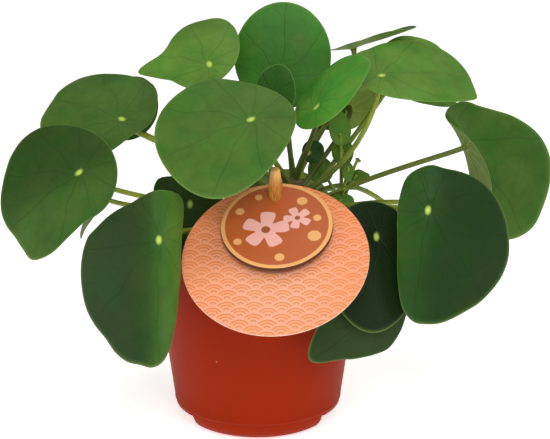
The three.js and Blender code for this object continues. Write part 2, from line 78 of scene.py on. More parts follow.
# %% [markdown]
# ## Helpers for the materials
#
# Colours are easiest to read as the hex values of a screen, but shaders work with linear light, so
# one function turns one into the other. A second one adds a shader node: it sets the node's
# properties and gives each input either a value or a link from another node. Two short ones begin an
# empty material and end it with its shader.
#
# Inputs are named, or numbered as in the node. Maths works on 0, 1 and 2. Mix has its share in 0 and
# its colours in 6 and 7, or its numbers in 2 and 3. Map Range reads 0 between 1 and 2, and gives a
# number between 3 and 4.

# %% Colour and node helpers
def linear(hex_colour):
    """Screen colour to linear light: c/12.92 up to 0.04045, and ((c + 0.055)/1.055)^2.4 above."""
    screen = np.array([int(hex_colour[i:i + 2], 16) for i in (1, 3, 5)]) / 255
    light = np.where(screen <= 0.04045, screen / 12.92, ((screen + 0.055) / 1.055) ** 2.4)
    return (*light.tolist(), 1.0)


def add(material, kind, settings, inputs):
    """Adds one node. settings are its properties, inputs are its sockets by name or number. Each gets
    a value, or a link from an output, where a node stands for its first output that is in use."""
    tree = material.node_tree
    made = tree.nodes.new(kind)
    for name, value in settings.items():
        setattr(made, name, value)
    for key, value in inputs.items():
        if isinstance(value, bpy.types.Node):
            value = next(output for output in value.outputs if output.enabled)
        if isinstance(value, bpy.types.NodeSocket):
            tree.links.new(value, made.inputs[key])
        else:
            made.inputs[key].default_value = value
    return made


def new_material(name):
    """A material without nodes."""
    material = bpy.data.materials.new(name)
    material.use_nodes = True
    material.node_tree.nodes.clear()
    return material


def finished(material, shader):
    """Links the shader to the material's output, says how many nodes it took, and returns it."""
    add(material, "ShaderNodeOutputMaterial", {}, {0: shader})
    print(material.name, "has", len(material.node_tree.nodes), "nodes")
    return material


MATHS, MIX, NOISE = "ShaderNodeMath", "ShaderNodeMix", "ShaderNodeTexNoise"
RANGE, BUMP, PRINCIPLED = "ShaderNodeMapRange", "ShaderNodeBump", "ShaderNodeBsdfPrincipled"
VECTOR = "ShaderNodeVectorMath"
COLOURS = {"data_type": "RGBA"}
FLAT_NOISE = {"noise_dimensions": "2D"}
SMOOTH = {"interpolation_type": "SMOOTHSTEP"}
print("a petiole's green in linear light:", [round(c, 3) for c in linear("#86a03c")])

# %% [markdown]
# ## Floor and light
#
# The plant stands on plain white paper in soft light. The main soft box is above the camera, so
# what turns away to the sides grows darker. Two tall weak ones stand left and right, which give the
# pot its two lighter bands. A wide one overhead lights the tops of the leaves, and a white surround
# fills the shadows. The paper glows a little of itself, as a sweep lit from behind does, which keeps
# its far part as white as the near.

# %% The floor
FLOOR_REACH = 6.0  # metres from the middle to an edge
FLOOR_DROP = 0.0003  # metres below the pot, so that the two flat faces don't share a plane


def white_paper_material():
    material = new_material("white_paper_floor")
    grain = add(material, NOISE, {}, {"Scale": 300.0, "Detail": 2.0})
    tone = add(material, MIX, COLOURS, {0: grain, 6: linear("#fbfbfb"), 7: linear("#fdfdfd")})
    shader = add(material, PRINCIPLED, {}, {"Base Color": tone, "Roughness": 0.9,
                                            "Emission Color": linear("#ffffff"), "Emission Strength": 0.62})
    return finished(material, shader)


floor_mesh = bpy.data.meshes.new("floor")
floor_corners = [(x * FLOOR_REACH, y * FLOOR_REACH, 0) for x, y in ((-1, -1), (1, -1), (1, 1), (-1, 1))]
floor_mesh.from_pydata(floor_corners, [], [(0, 1, 2, 3)])
floor_mesh.materials.append(white_paper_material())
floor = bpy.data.objects.new("floor", floor_mesh)
floor.location.z = -FLOOR_DROP
bpy.context.scene.collection.objects.link(floor)
print("floor:", 2 * FLOOR_REACH, "m square")

# %% The lights
SURROUND = 0.26  # strength of the white surround


def soft_box(name, place, aim, width, height, power):
    """A rectangular area light at a place, turned to a point; metres, and power in watts."""
    data = bpy.data.lights.new(name, "AREA")
    data.shape = "RECTANGLE"
    data.size, data.size_y, data.energy = width, height, power
    light = bpy.data.objects.new(name, data)
    light.location = place
    bpy.context.scene.collection.objects.link(light)
    way = np.array(aim) - np.array(place)
    light.rotation_euler = (math.acos(-way[2] / np.linalg.norm(way)), 0,
                            math.atan2(way[1], way[0]) - math.pi / 2)


soft_box("front_box", (0.05, -1.15, 0.95), (0, 0, 0.12), 0.8, 0.6, 8.2)
soft_box("left_box", (-1.1, -0.55, 0.5), (0, 0, 0.1), 0.4, 1.0, 3.3)
soft_box("right_box", (1.1, -0.55, 0.5), (0, 0, 0.1), 0.4, 1.0, 3.3)
soft_box("top_box", (0.1, 0.1, 1.4), (0, 0, 0.1), 1.4, 1.2, 6.0)

world = bpy.data.worlds.new("white_surround")
world.use_nodes = True
world.node_tree.nodes["Background"].inputs["Color"].default_value = linear("#ffffff")
world.node_tree.nodes["Background"].inputs["Strength"].default_value = SURROUND
bpy.context.scene.world = world
bpy.context.scene.view_settings.view_transform = "Standard"

# %% [markdown]
# ## Surfaces that run round
#
# Every piece of this plant closes on itself: a blade, a stalk, a turned pot, a disc. Each can be
# made as rows of points that run round it, with one point at each end. So one function joins such
# rows into a mesh, and the pieces differ only in the formula that gives their points. Skin or curve
# modifiers could also make stalks, but a formula keeps the surface where the solid is.

# %% Rows of points into a mesh
UV_UNIT = 100  # millimetres to one unit of a UV map


def round_faces(rows, columns, start=0):
    """Quads between neighbouring rows, and a fan of triangles from each end's point."""
    first = start + 1
    row, column = np.meshgrid(np.arange(rows - 1), np.arange(columns), indexing="ij")
    after = (column + 1) % columns
    near, far = first + row * columns, first + (row + 1) * columns
    quads = np.stack([near + column, far + column, far + after, near + after], -1).reshape(-1, 4)
    around = np.arange(columns)
    turned = (around + 1) % columns
    last = first + (rows - 1) * columns
    top = np.stack([np.full(columns, start), first + around, first + turned], -1)
    end = np.stack([np.full(columns, last + columns), last + turned, last + around], -1)
    return quads.tolist() + top.tolist() + end.tolist()


def round_points(start, rows, end):
    """One list of points in metres: the start, every row in turn, and the end."""
    return np.concatenate([np.reshape(start, (1, 3)), rows.reshape(-1, 3), np.reshape(end, (1, 3))]) * MM


def new_piece(name, points, faces, materials, values=None, flat=None, chosen=None):
    """A smooth mesh object. values are named numbers for its points, flat is a (points, 2) map in
    millimetres that becomes the UV map "flat_mm" in units of 100 mm, chosen a material per face."""
    mesh = bpy.data.meshes.new(name)
    mesh.from_pydata(points.tolist(), [], faces)
    mesh.polygons.foreach_set("use_smooth", np.ones(len(mesh.polygons), bool))
    for key, numbers in (values or {}).items():
        mesh.attributes.new(key, "FLOAT", "POINT").data.foreach_set("value", np.asarray(numbers, np.float32))
    if flat is not None:
        corner = np.zeros(len(mesh.loops), np.int32)
        mesh.loops.foreach_get("vertex_index", corner)
        mesh.uv_layers.new(name="flat_mm").data.foreach_set("uv", (flat[corner] / UV_UNIT).ravel())
    for material in materials:
        mesh.materials.append(material)
    if chosen is not None:
        mesh.polygons.foreach_set("material_index", np.asarray(chosen, np.int32))
    mesh.update()
    made = bpy.data.objects.new(name, mesh)
    bpy.context.scene.collection.objects.link(made)
    return made


def stands_for(made, node):
    """The piece rides with the plant and hides the solid of that node."""
    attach(made, "root")
    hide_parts(node)


def triangles(made):
    """How many triangles its faces make: two fewer than the corners of each."""
    return int(sum(len(face.vertices) - 2 for face in made.data.polygons))


print("a closed tube of 3 rows of 8 has", len(round_faces(3, 8)), "faces")

# %% [markdown]
# ## Leaf material
#
# A money plant's leaf is thick, hairless and leathery: deep green and softly glossy above, paler and
# duller below, with a pale spot over the stalk and a thin light margin. Faint veins fan out from the
# spot, a little darker than the leaf above and lighter below. The blade carries its flat place as a UV
# map, so veins can be drawn by distance and angle from the stalk whatever way the blade is turned. One
# material serves every leaf, and numbers on each blade, its tone and age, say how light and how olive
# that leaf looks. The tone is partly the leaf's own green and partly painted light and shade: darker on
# a leaf that hangs in shadow, lighter on an underside that light shines through, and lighter on one
# half of a blade than on the other where light falls on it from one side.

# %% Veins
MAIN_VEINS = 9


def leaf_veins(material, flat, drift):
    """A number from 0 between the veins to 1 on a main one. Lengths on the UV map are in units of
    100 mm. With its angle in ninths of a turn, a point lies off the nearest main vein by the distance
    from the stalk times what the angle lacks to the nearest whole number."""
    # veins wander a little: the flat place is shifted by the slow noise
    centred = add(material, VECTOR, {"operation": "SUBTRACT"},
                  {0: drift.outputs["Color"], 1: (0.5, 0.5, 0.5)})
    shift = add(material, VECTOR, {"operation": "SCALE"}, {0: centred, "Scale": 0.06})
    moved = add(material, VECTOR, {"operation": "ADD"}, {0: flat, 1: shift})
    place = add(material, "ShaderNodeSeparateXYZ", {}, {0: moved})
    distance = add(material, VECTOR, {"operation": "LENGTH"}, {0: moved})
    angle = add(material, MATHS, {"operation": "ARCTAN2"}, {0: place.outputs["Y"], 1: place.outputs["X"]})
    turns = add(material, MATHS, {"operation": "MULTIPLY"}, {0: angle, 1: MAIN_VEINS / (2 * math.pi)})
    nearest = add(material, MATHS, {"operation": "ROUND"}, {0: turns})
    off = add(material, MATHS, {"operation": "SUBTRACT"}, {0: turns, 1: nearest})
    far = add(material, MATHS, {"operation": "MULTIPLY"}, {0: off, 1: distance})
    width = add(material, MATHS, {"operation": "ABSOLUTE"}, {0: far})
    vein = add(material, RANGE, SMOOTH, {0: width, 1: 0.0, 2: 0.011, 3: 1.0, 4: 0.0})
    # and side veins that branch off between them, some 9 mm apart
    net = add(material, "ShaderNodeTexVoronoi", {"feature": "DISTANCE_TO_EDGE", "voronoi_dimensions": "2D"},
              {"Vector": moved, "Scale": 11.0})
    small = add(material, RANGE, SMOOTH, {0: net, 1: 0.0, 2: 0.14, 3: 0.3, 4: 0.0})
    return add(material, MATHS, {"operation": "MAXIMUM"}, {0: vein, 1: small})


print("a main vein every", 360 // MAIN_VEINS, "degrees")

# %% The leaf blade's material
def leaf_blade_material():
    material = new_material("leathery_leaf_blade")
    flat = add(material, "ShaderNodeUVMap", {"uv_map": "flat_mm"}, {})
    under, margin, tone, age = (
        add(material, "ShaderNodeAttribute", {"attribute_name": name}, {}).outputs["Fac"]
        for name in ("underside", "margin", "tone", "age"))
    # a slow noise of about 20 mm bends the veins and shifts the hue
    drift = add(material, NOISE, FLAT_NOISE, {"Vector": flat, "Scale": 5.0, "Detail": 1.0})
    veins = leaf_veins(material, flat, drift)

    # upper side: dark to light green by tone, which holds painted light and shade as well as the leaf's
    # own green, and fresh to olive by age, both mottled. The tone's noise has patches of 30 mm and specks
    # down to half a millimetre. It goes by the place on the plant, so no two leaves are alike in it
    world_place = add(material, "ShaderNodeTexCoord", {}, {}).outputs["Object"]
    cloud = add(material, NOISE, {}, {"Vector": world_place, "Scale": 33.0, "Detail": 6.0, "Roughness": 0.66})
    cloudy = add(material, RANGE, {}, {0: cloud, 1: 0.3, 2: 0.7, 3: 0.75, 4: 1.25})
    hue_drift = add(material, RANGE, {}, {0: drift, 1: 0.3, 2: 0.7, 3: -0.45, 4: 0.45})
    lit = add(material, MATHS, {"operation": "MULTIPLY", "use_clamp": True}, {0: tone, 1: cloudy})
    old = add(material, MATHS, {"operation": "ADD", "use_clamp": True}, {0: age, 1: hue_drift})
    light = add(material, MIX, COLOURS, {0: old, 6: linear("#478c2b"), 7: linear("#648e34")})
    green = add(material, MIX, COLOURS, {0: lit, 6: linear("#0d1f06"), 7: light})
    vein_share = add(material, MATHS, {"operation": "MULTIPLY"}, {0: veins, 1: 0.22})
    veined = add(material, MIX, {"data_type": "RGBA", "blend_type": "MULTIPLY"},
                 {0: vein_share, 6: green, 7: linear("#6a8460")})
    # underside: paler, greyer, with clearer veins
    pale = add(material, MIX, COLOURS, {0: lit, 6: linear("#34501c"), 7: linear("#93ad50")})
    under_share = add(material, MATHS, {"operation": "MULTIPLY"}, {0: veins, 1: 0.3})
    under_veined = add(material, MIX, COLOURS, {0: under_share, 6: pale, 7: linear("#b4c47a")})
    side = add(material, MIX, COLOURS, {0: under, 6: veined, 7: under_veined})
    # the spot over the stalk, which fades out within 7 mm along the leaf and 4.5 mm across
    long_spot = add(material, "ShaderNodeMapping", {}, {"Vector": flat, "Scale": (1, 1.5, 1)})
    straight = add(material, VECTOR, {"operation": "LENGTH"}, {0: long_spot})
    spot = add(material, RANGE, SMOOTH, {0: straight, 1: 0.006, 2: 0.034, 3: 1.0, 4: 0.0})
    spotted = add(material, MIX, COLOURS, {0: spot, 6: side, 7: linear("#b7d35e")})
    # the light margin
    edge_share = add(material, MATHS, {"operation": "MULTIPLY"}, {0: margin, 1: 0.35})
    edged = add(material, MIX, COLOURS, {0: edge_share, 6: spotted, 7: linear("#86a654")})

    # leathery skin: a fine grain of 0.6 mm over sunken veins, half matt above and duller below
    grain = add(material, NOISE, FLAT_NOISE, {"Vector": flat, "Scale": 160.0, "Detail": 2.0})
    skin = add(material, BUMP, {}, {"Strength": 0.12, "Distance": 0.0004, "Height": grain})
    sunk = add(material, BUMP, {"invert": True},
               {"Strength": 0.22, "Distance": 0.0006, "Height": veins, "Normal": skin})
    gloss = add(material, RANGE, {}, {0: under, 1: 0.0, 2: 1.0, 3: 0.44, 4: 0.62})
    shader = add(material, PRINCIPLED, {}, {"Base Color": edged, "Roughness": gloss, "Normal": sunk,
                                            "IOR": 1.45, "Specular IOR Level": 0.17})
    return finished(material, shader)


leaf_skin = leaf_blade_material()

# %% [markdown]
# ## Stalk material
#
# A petiole is fleshy, smooth and yellow-green with a faintly uneven skin. It is a little darker and
# browner where it leaves the trunk, partly its own colour and partly painted shade from the crown above
# it. The stalk carries its length as one number, 0 at the trunk and 1 at the blade, and its colour
# follows that. A second number, its painted shade, darkens a whole stalk that stands in the crown's
# shadow.

# %% The petiole's material
def petiole_material():
    material = new_material("fleshy_petiole")
    along, painted_shade = (
        add(material, "ShaderNodeAttribute", {"attribute_name": name}, {}).outputs["Fac"]
        for name in ("along", "painted_shade"))
    place = add(material, "ShaderNodeTexCoord", {}, {}).outputs["Object"]
    cloud = add(material, NOISE, {}, {"Vector": place, "Scale": 120.0, "Detail": 3.0})
    young = add(material, MIX, COLOURS, {0: cloud, 6: linear("#6b7b26"), 7: linear("#a4b23a")})
    # darker and browner towards the trunk, partly the stalk's own colour and partly painted crown shade; the
    # painted shade number darkens the whole stalk
    low = add(material, RANGE, {}, {0: along, 1: 0.0, 2: 0.5, 3: 0.85, 4: 0.0})
    foot = add(material, MATHS, {"operation": "MAXIMUM"}, {0: low, 1: painted_shade})
    aged_and_shaded = add(material, MIX, COLOURS, {0: foot, 6: young, 7: linear("#3a451a")})
    skin = add(material, BUMP, {}, {"Strength": 0.15, "Distance": 0.0004, "Height": cloud})
    shader = add(material, PRINCIPLED, {},
                 {"Base Color": aged_and_shaded, "Roughness": 0.42, "Normal": skin, "IOR": 1.42})
    return finished(material, shader)


stalk_skin = petiole_material()

# %% [markdown]
# ## The leaves' table
#
# No two leaves are alike, and each one in the picture was measured: where its pale spot lies, how
# steeply it hangs, where its tip points, how long and wide it is, and how its edges curl or fold.
# These are the same values as the solids have, so every fine blade lies where its solid is.

# %% The leaves
LEAVES = {
    # round the front, from the crown down
    "leaf_01": dict(at=[13, 34, 186], tilt=80, faces=-95, tip=178, length=60, width=55, ahead=0.22,
                    egg=0.02, droop=[10, 5, 12, 12], node=125, rise=0.4, arrive=0.25),
    "leaf_02": dict(at=[-26, 5, 201], tilt=42, faces=-115, tip=-139, length=50, width=44, ahead=0.24,
                    aside=0.06, droop=[15, 15, 15, 25],
                    lobes=[[76, 20, 13], [-62, 7, 30], [0, 3.5, 25], [120, -2, 25]], node=124,
                    rise=0.2, arrive=0.3),
    "leaf_03": dict(at=[-75, 15, 168], tilt=33, faces=-104, tip=-110, length=72, width=65, ahead=0.27,
                    droop=[20, 20, 20, 10],
                    lobes=[[-50, 4.5, 20], [6, -4.5, 20], [160, -4.5, 22], [-125, 3, 14]], node=118,
                    rise=0.2, arrive=0.15),
    "leaf_04": dict(at=[-78.2, 48, 159.5], tilt=60, faces=-100, tip=160, length=40, width=36,
                    ahead=0.2, droop=[12, 10, 15, 15], node=113, rise=0.2, arrive=0.3),
    "leaf_05": dict(at=[-96, -20, 147], tilt=54, faces=-110, tip=-45, length=72, width=65, ahead=0.2,
                    aside=-0.05, droop=[15, 15, 10, 15],
                    lobes=[[48, 10, 20], [88, -4, 20], [-90, 10, 31]], node=104, rise=0.02, arrive=0.3),
    "leaf_06": dict(at=[-50, -74, 126], tilt=78, faces=-73, tip=-4, length=92, width=70, ahead=0.23,
                    aside=-0.25, droop=[10, 25, 10, 15], folds=[[76, 0, 5]],
                    lobes=[[152, 5, 20], [135, 16, 12], [52, 8, 22], [72, -4, 20], [-75, -1.8, 40],
                    [-135, -6, 32], [-178, -3.5, 24], [-30, -4.5, 20], [32, 3.5, 15]], node=101,
                    rise=0.2, arrive=0.35),
    "leaf_07": dict(at=[-3, -34, 180], tilt=39, faces=-98, tip=-60, length=77, width=72, ahead=0.18,
                    egg=-0.28, droop=[10, 20, 15, 10], lobes=[[-97, 4, 20]], node=122, rise=0.4,
                    arrive=0.3),
    "leaf_08": dict(at=[10, 4, 183], tilt=80, faces=-110, tip=175, length=30, width=24, ahead=0.1,
                    droop=[0, 0, -20, -20], node=132, rise=0.4, arrive=0.2),
    "leaf_09": dict(at=[32, -10, 181], tilt=49, faces=-152, tip=169, length=53, width=45, ahead=0.22,
                    aside=0.07, droop=[15, 10, 10, 10], node=126, rise=0.3, arrive=0.12),
    "leaf_10": dict(at=[52, 57, 164], tilt=84, faces=103, tip=200, length=34, width=35, ahead=0.1,
                    droop=[10, 10, 10, 10], lobes=[[108, -5.5, 38]], node=120, swing=14, rise=-0.3,
                    arrive=0.3),
    "leaf_11": dict(at=[68, 9, 194], tilt=24, faces=-72, tip=96, length=74, width=60, ahead=0.3,
                    aside=0.06, droop=[22, 10, 0, 20],
                    lobes=[[-46, 6, 18], [-105, -4.5, 30], [30, 3.5, 35], [90, -3.5, 20],
                    [118, -6, 22]], node=121, swing=-8, arch=0.6, rise=-0.5, arrive=0.12),
    "leaf_12": dict(at=[54, 54, 200], tilt=19, faces=140, tip=-125, length=52, width=40, ahead=0.25,
                    droop=[-8, -15, -15, -15], lobes=[[-110, 3, 25]], node=129, rise=0, arrive=0.2),
    "leaf_13": dict(at=[115, 5, 155], tilt=65, faces=25, tip=0, length=76, width=76, ahead=0.25,
                    aside=0.26, droop=[35, 20, -20, 10], lobes=[[140, -12, 28], [40, 4.3, 18]],
                    folds=[[-110, 12, 5]], node=111, rise=0.25, arrive=0.08),
    "leaf_14": dict(at=[90, -51, 135], tilt=75, faces=-95, tip=-6, length=84, width=62, ahead=0.22,
                    aside=0.23, droop=[10, 20, 10, 20],
                    lobes=[[-140, 8, 20], [-80, -4, 20], [-42, 5, 14], [-26, 3, 14], [24, -3.2, 22],
                    [84, 3.2, 22]], folds=[[20, 0, 4]], node=116, rise=0.06, arrive=0.3),
    "leaf_15": dict(at=[64, -37, 116], tilt=60, faces=-70, tip=-12, length=72, width=54, ahead=0.22,
                    aside=-0.02, droop=[10, 10, 10, 10], node=106, rise=0.2, arrive=0.1),
    "leaf_16": dict(at=[68, -46, 82], tilt=80, faces=-65, tip=-58, length=66, width=39, ahead=0.28,
                    egg=0.25, droop=[10, 10, 10, 10], lobes=[[105, 4, 18], [38, -5.5, 28]], node=112,
                    swing=-19, arch=0.75, rise=1.1, arrive=0.02),
    # small and shaded ones inside
    "leaf_17": dict(at=[39, 40, 162], tilt=75, faces=-80, tip=155, length=22, width=19, ahead=0.2,
                    droop=[10, 10, 10, 10], node=123, swing=50, rise=0.2, arrive=0.2),
    "leaf_18": dict(at=[27.4, 15.5, 148.2], tilt=75, faces=-80, tip=100, length=13, width=13,
                    ahead=0.3, droop=[10, 10, 10, 10], node=115, swing=-14, rise=0.1, arrive=0.1),
    "leaf_19": dict(at=[-74, 60, 86], tilt=65, faces=140, tip=0, length=56, width=50, ahead=0.2,
                    droop=[15, 15, 15, 15], node=126, arch=0.6, swing=-20, rise=1.1, arrive=0.1),
    "leaf_20": dict(at=[-37, -6, 125], tilt=70, faces=-100, tip=0, length=40, width=38, ahead=0.1,
                    droop=[10, 10, 10, 10], lobes=[[-130, 6.5, 20]], node=115, rise=0.2, arrive=0.25),
    # round the back
    "leaf_21": dict(at=[-91, 32, 119], tilt=60, faces=170, tip=0, length=40, width=36, ahead=0.2,
                    droop=[15, 15, 15, 15], node=108, rise=0.1, arrive=0.2),
    "leaf_22": dict(at=[-20, 72, 141], tilt=50, faces=110, tip=0, length=64, width=60, ahead=0.2,
                    droop=[20, 15, 15, 15], node=123, rise=0.2, arrive=0.3),
    "leaf_23": dict(at=[86, 62, 193], tilt=45, faces=-70, tip=34, length=54, width=46, ahead=0.22,
                    egg=0.3, droop=[20, 15, 15, 15], lobes=[[-40, -2, 30], [130, -4, 30]], node=114,
                    swing=-10, rise=-0.1, arrive=0.15),
    "leaf_24": dict(at=[122, 66, 108], tilt=60, faces=35, tip=0, length=54, width=56, ahead=0.2,
                    droop=[20, 15, 15, 15], node=104, arch=0.45, rise=0.4, arrive=0.15),
    "leaf_25": dict(at=[14, 96, 102], tilt=68, faces=95, tip=0, length=66, width=60, ahead=0.2,
                    droop=[20, 15, 15, 15], node=119, rise=0.7, arrive=0.1),
    "leaf_26": dict(at=[96, 78, 84], tilt=62, faces=45, tip=0, length=60, width=54, ahead=0.2,
                    droop=[20, 15, 15, 15], node=112, arch=0.6, rise=1, arrive=0.1),
}
print(len(LEAVES), "leaves, the widest", max(leaf["width"] for leaf in LEAVES.values()), "mm")

# %% [markdown]
# ## The form of a blade
#
# A blade starts as a flat egg-shaped outline round the place of the stalk. It is then bent twice:
# along its length on an arc, and across it by a slope that grows towards both sides and jumps at a
# fold. Subdividing a box or sculpting could give one leaf, but a formula gives all of them, and the
# flat place of each point stays known for the veins.

# %% A blade's formula
STEPS_ACROSS = 12  # short steps that follow the slope from the midrib out
CORNERS = 24  # corners of the solid's outline
EGG = 0.08  # how egg-shaped a blade is where its row doesn't say


def leaf_frame(at, tilt, faces, tip):
    """Columns: towards the tip, to its left, the upper normal. tilt leans the normal off the vertical
    towards the direction faces; tip turns the tip from straight downhill; all in degrees."""
    lean, way, spin = math.radians(tilt), math.radians(faces), math.radians(tip)
    normal = np.array([math.sin(lean) * math.cos(way), math.sin(lean) * math.sin(way), math.cos(lean)])
    downhill = np.array([math.cos(lean) * math.cos(way), math.cos(lean) * math.sin(way), -math.sin(lean)])
    ahead = math.cos(spin) * downhill + math.sin(spin) * np.cross(normal, downhill)
    return np.stack([ahead, np.cross(normal, ahead), normal], 1), np.array(at, float)


def section_slope(leaf, v):
    """Slope across the blade: it grows evenly to the droop at either side, and by each fold's angle
    as tanh of the distance from the fold."""
    left, right = leaf["droop"][2:]
    slope = np.radians(np.where(v > 0, left, right)) * v / (leaf["width"] / 2)
    for turn, at, half in leaf.get("folds", []):
        slope = slope + np.radians(turn) / 2 * (np.tanh((v - at) / half) - np.tanh(-at / half))
    return slope


def bent(leaf, u, v):
    """Flat place (u ahead, v left) to the bent blade: an arc lengthwise, whose angle is u times the
    droop over the length on that side, and crosswise the sum of 12 short steps at the section's slope."""
    tip, base = leaf["droop"][:2]
    length, ahead = leaf["length"], leaf["ahead"]
    curve = np.where(u > 0, math.radians(tip) / (length * (0.5 + ahead)),
                     math.radians(base) / (length * (0.5 - ahead)))
    curve = np.where(np.abs(curve) < 1e-6, 1e-6, curve)
    angle = curve * u
    shares = (np.arange(STEPS_ACROSS) + 0.5) / STEPS_ACROSS
    slopes = section_slope(leaf, v[..., None] * shares)
    across = v * np.cos(slopes).mean(-1)
    sag = v * np.sin(slopes).mean(-1)
    return np.stack([np.sin(angle) / curve - sag * np.sin(angle), across,
                     -(1 - np.cos(angle)) / curve - sag * np.cos(angle)], -1)


def outline(leaf, turn):
    """Egg-shaped ellipse: half the length by cos, half the width by sin times (1 - egg cos), moved
    off the stalk, and stretched by a bell-shaped lobe in each given direction. It is worked out in 24
    directions, as the solid has corners, and a cubic through four corners rounds each side."""
    way = np.arange(CORNERS) / CORNERS * 2 * np.pi
    u = leaf["length"] * (0.5 * np.cos(way) + leaf["ahead"])
    v = leaf["width"] * (0.5 * np.sin(way) * (1 - leaf.get("egg", EGG) * np.cos(way)) + leaf.get("aside", 0))
    reach = np.ones(CORNERS)
    for at, length, half in leaf.get("lobes", []):
        off = np.angle(np.exp(1j * (way - math.radians(at))))
        reach = reach + length / np.hypot(u, v) * np.exp(-((off / math.radians(half)) ** 2))
    corners = np.stack([u * reach, v * reach], -1)
    side = np.floor(turn / (2 * np.pi) * CORNERS).astype(int)
    s = (turn / (2 * np.pi) * CORNERS - side)[:, None]
    a, b, c, d = (corners[(side + k) % CORNERS] for k in (-1, 0, 1, 2))
    rim = b + s / 2 * (c - a + s * (2 * a - 5 * b + 4 * c - d + s * (3 * b - a - 3 * c + d)))
    return rim[:, 0], rim[:, 1]


test_rim = outline(LEAVES["leaf_07"], np.arange(6) * np.pi / 3)
print("leaf_07's rim at six angles:", np.hypot(*test_rim).round(1).tolist(), "mm from its stalk")

# %% A whole blade
BLADE_COLUMNS = 96
# how far out each row lies, closest where the rim is rounded
OUT = np.array([0.03, 0.06, 0.1, 0.15, 0.22, 0.3, 0.38, 0.46, 0.54, 0.62, 0.7, 0.77, 0.83, 0.88, 0.92, 0.955,
                0.98, 0.995, 1.0])
RIM_FROM, RIM_SHARE = 0.955, 0.045  # where the rounding of the rim starts, and its share
DIP, DIP_REACH = 0.8, 3.2  # the hollow over the stalk: its depth and reach in mm
RIPPLE, RIPPLES = 0.35, 5  # the slow waves round the rim: their height in mm and their number
MARGIN_FROM, MARGIN_SHARE = 0.975, 0.02  # where the light margin starts, and its soft edge
# painted light and shade across a blade: its left half lighter or darker than its right, as light falls from
# one side
PAINTED_HALF_BLEND = 8  # mm from the midrib within which one half's tone turns to the other's


def blade_arrays(leaf, look, columns=BLADE_COLUMNS, thickness=0.75):
    """Points, flat places and named numbers of a blade. Rows run from the stalk out over the upper
    side, round the rim on a half circle, and back in under it; the blade thins to two thirds at its rim
    and dips over the stalk."""
    rows = np.concatenate([OUT, OUT[::-1]])
    upper = np.concatenate([np.ones(len(OUT)), -np.ones(len(OUT))])
    turn = np.arange(columns) / columns * 2 * np.pi
    rim_u, rim_v = outline(leaf, turn)
    u, v = rows[:, None] * rim_u, rows[:, None] * rim_v

    def middle(a, b):
        """The sheet halfway through the blade, with its dip and its ripple."""
        dip = DIP * np.exp(-((np.hypot(a, b) / DIP_REACH) ** 2))
        far = (np.hypot(a, b) / (leaf["length"] / 2)) ** 3
        wave = RIPPLE * far * np.sin(RIPPLES * np.arctan2(b, a) + leaf["tilt"])
        return bent(leaf, a, b) + np.stack([0 * a, 0 * a, wave - dip], -1)

    def normals(a, b):
        """Square to the sheet, from its rise over a short step each way."""
        step = 0.4
        ahead = middle(a + step, b) - middle(a - step, b)
        left = middle(a, b + step) - middle(a, b - step)
        across = np.cross(ahead, left)
        return across / np.linalg.norm(across, axis=-1, keepdims=True)

    half = thickness / 2 * (1 - rows[:, None] ** 4 / 3)
    half = half * np.sqrt(np.clip(1 - ((rows[:, None] - RIM_FROM) / RIM_SHARE).clip(0) ** 2, 0, 1))
    sheet = middle(u, v) + normals(u, v) * (half * upper[:, None])[..., None]
    centre = np.zeros(1)
    ends = [middle(centre, centre)[0] + side * thickness / 2 * normals(centre, centre)[0] for side in (1, -1)]
    turned, at = leaf_frame(leaf["at"], leaf["tilt"], leaf["faces"], leaf["tip"])
    points = round_points(ends[0] @ turned.T + at, sheet @ turned.T + at, ends[1] @ turned.T + at)
    flat = np.concatenate([[[0, 0]], np.stack([u, v], -1).reshape(-1, 2), [[0, 0]]])
    under = np.concatenate([[0], np.repeat(upper < 0, columns), [1]])
    at_rim = np.clip((rows - MARGIN_FROM) / MARGIN_SHARE, 0, 1)
    margin = np.concatenate([[0], np.repeat(at_rim, columns), [0]])
    tone, age, painted_half_light = look
    # one half of the blade painted lighter and the other darker, for light that falls on it from one side
    tone_and_painted_halves = tone + painted_half_light * np.tanh(flat[:, 1] / PAINTED_HALF_BLEND)
    values = {"underside": under, "margin": margin, "tone": tone_and_painted_halves, "age": np.full(len(points), age)}
    return points, flat, values, len(rows)


test_points, _, _, test_rows = blade_arrays(LEAVES["leaf_07"], (0.5, 0.5, 0))
print("leaf_07:", test_rows, "rows,", len(test_points), "points")

# %% [markdown]
# ## Blades
#
# Light and dark leaves are set from the picture: young ones near the top are yellower and lighter,
# old ones that hang low are almost black-green. The tones also hold painted shade and light: a leaf in
# shadow, such as the ones under the card and under leaf_07, is painted darker, and an underside that
# light shines through is painted lighter.

# %% Every leaf's blade
PLAIN_LOOK = (0.4, 0.5, 0)
# tone (0 dark, 1 light; the leaf's own green with painted shade and light), age (0 fresh green, 1
# olive) and how much lighter the half left of the midrib is than the whole, which is painted light and
# shade where light falls on the blade from one side; a leaf that isn't named has the plain look
LOOKS = {
    "leaf_01": (0.58, 0, 0), "leaf_02": (0.76, 1, 0), "leaf_03": (0.48, 1, 0), "leaf_04": (0.3, 0.5, 0),
    "leaf_05": (0.29, 0.8, 0.09), "leaf_06": (0.33, 0.6, 0.22), "leaf_07": (0.5, 0.9, 0),
    "leaf_08": (0.35, 0, 0), "leaf_09": (0.9, 0.2, 0), "leaf_10": (0.9, 1, 0), "leaf_11": (0.82, 0.9, 0),
    "leaf_13": (0.43, 0.9, 0), "leaf_14": (0.17, 0.1, -0.09), "leaf_15": (0.02, 0.3, 0),
    "leaf_16": (0.11, 1, 0), "leaf_17": (0.3, 0.3, 0), "leaf_18": (0.2, 0.5, 0), "leaf_19": (0.3, 0.5, 0),
    "leaf_20": (0.18, 0.6, 0), "leaf_22": (0.5, 0.5, 0), "leaf_23": (1, 0.8, 0),
}

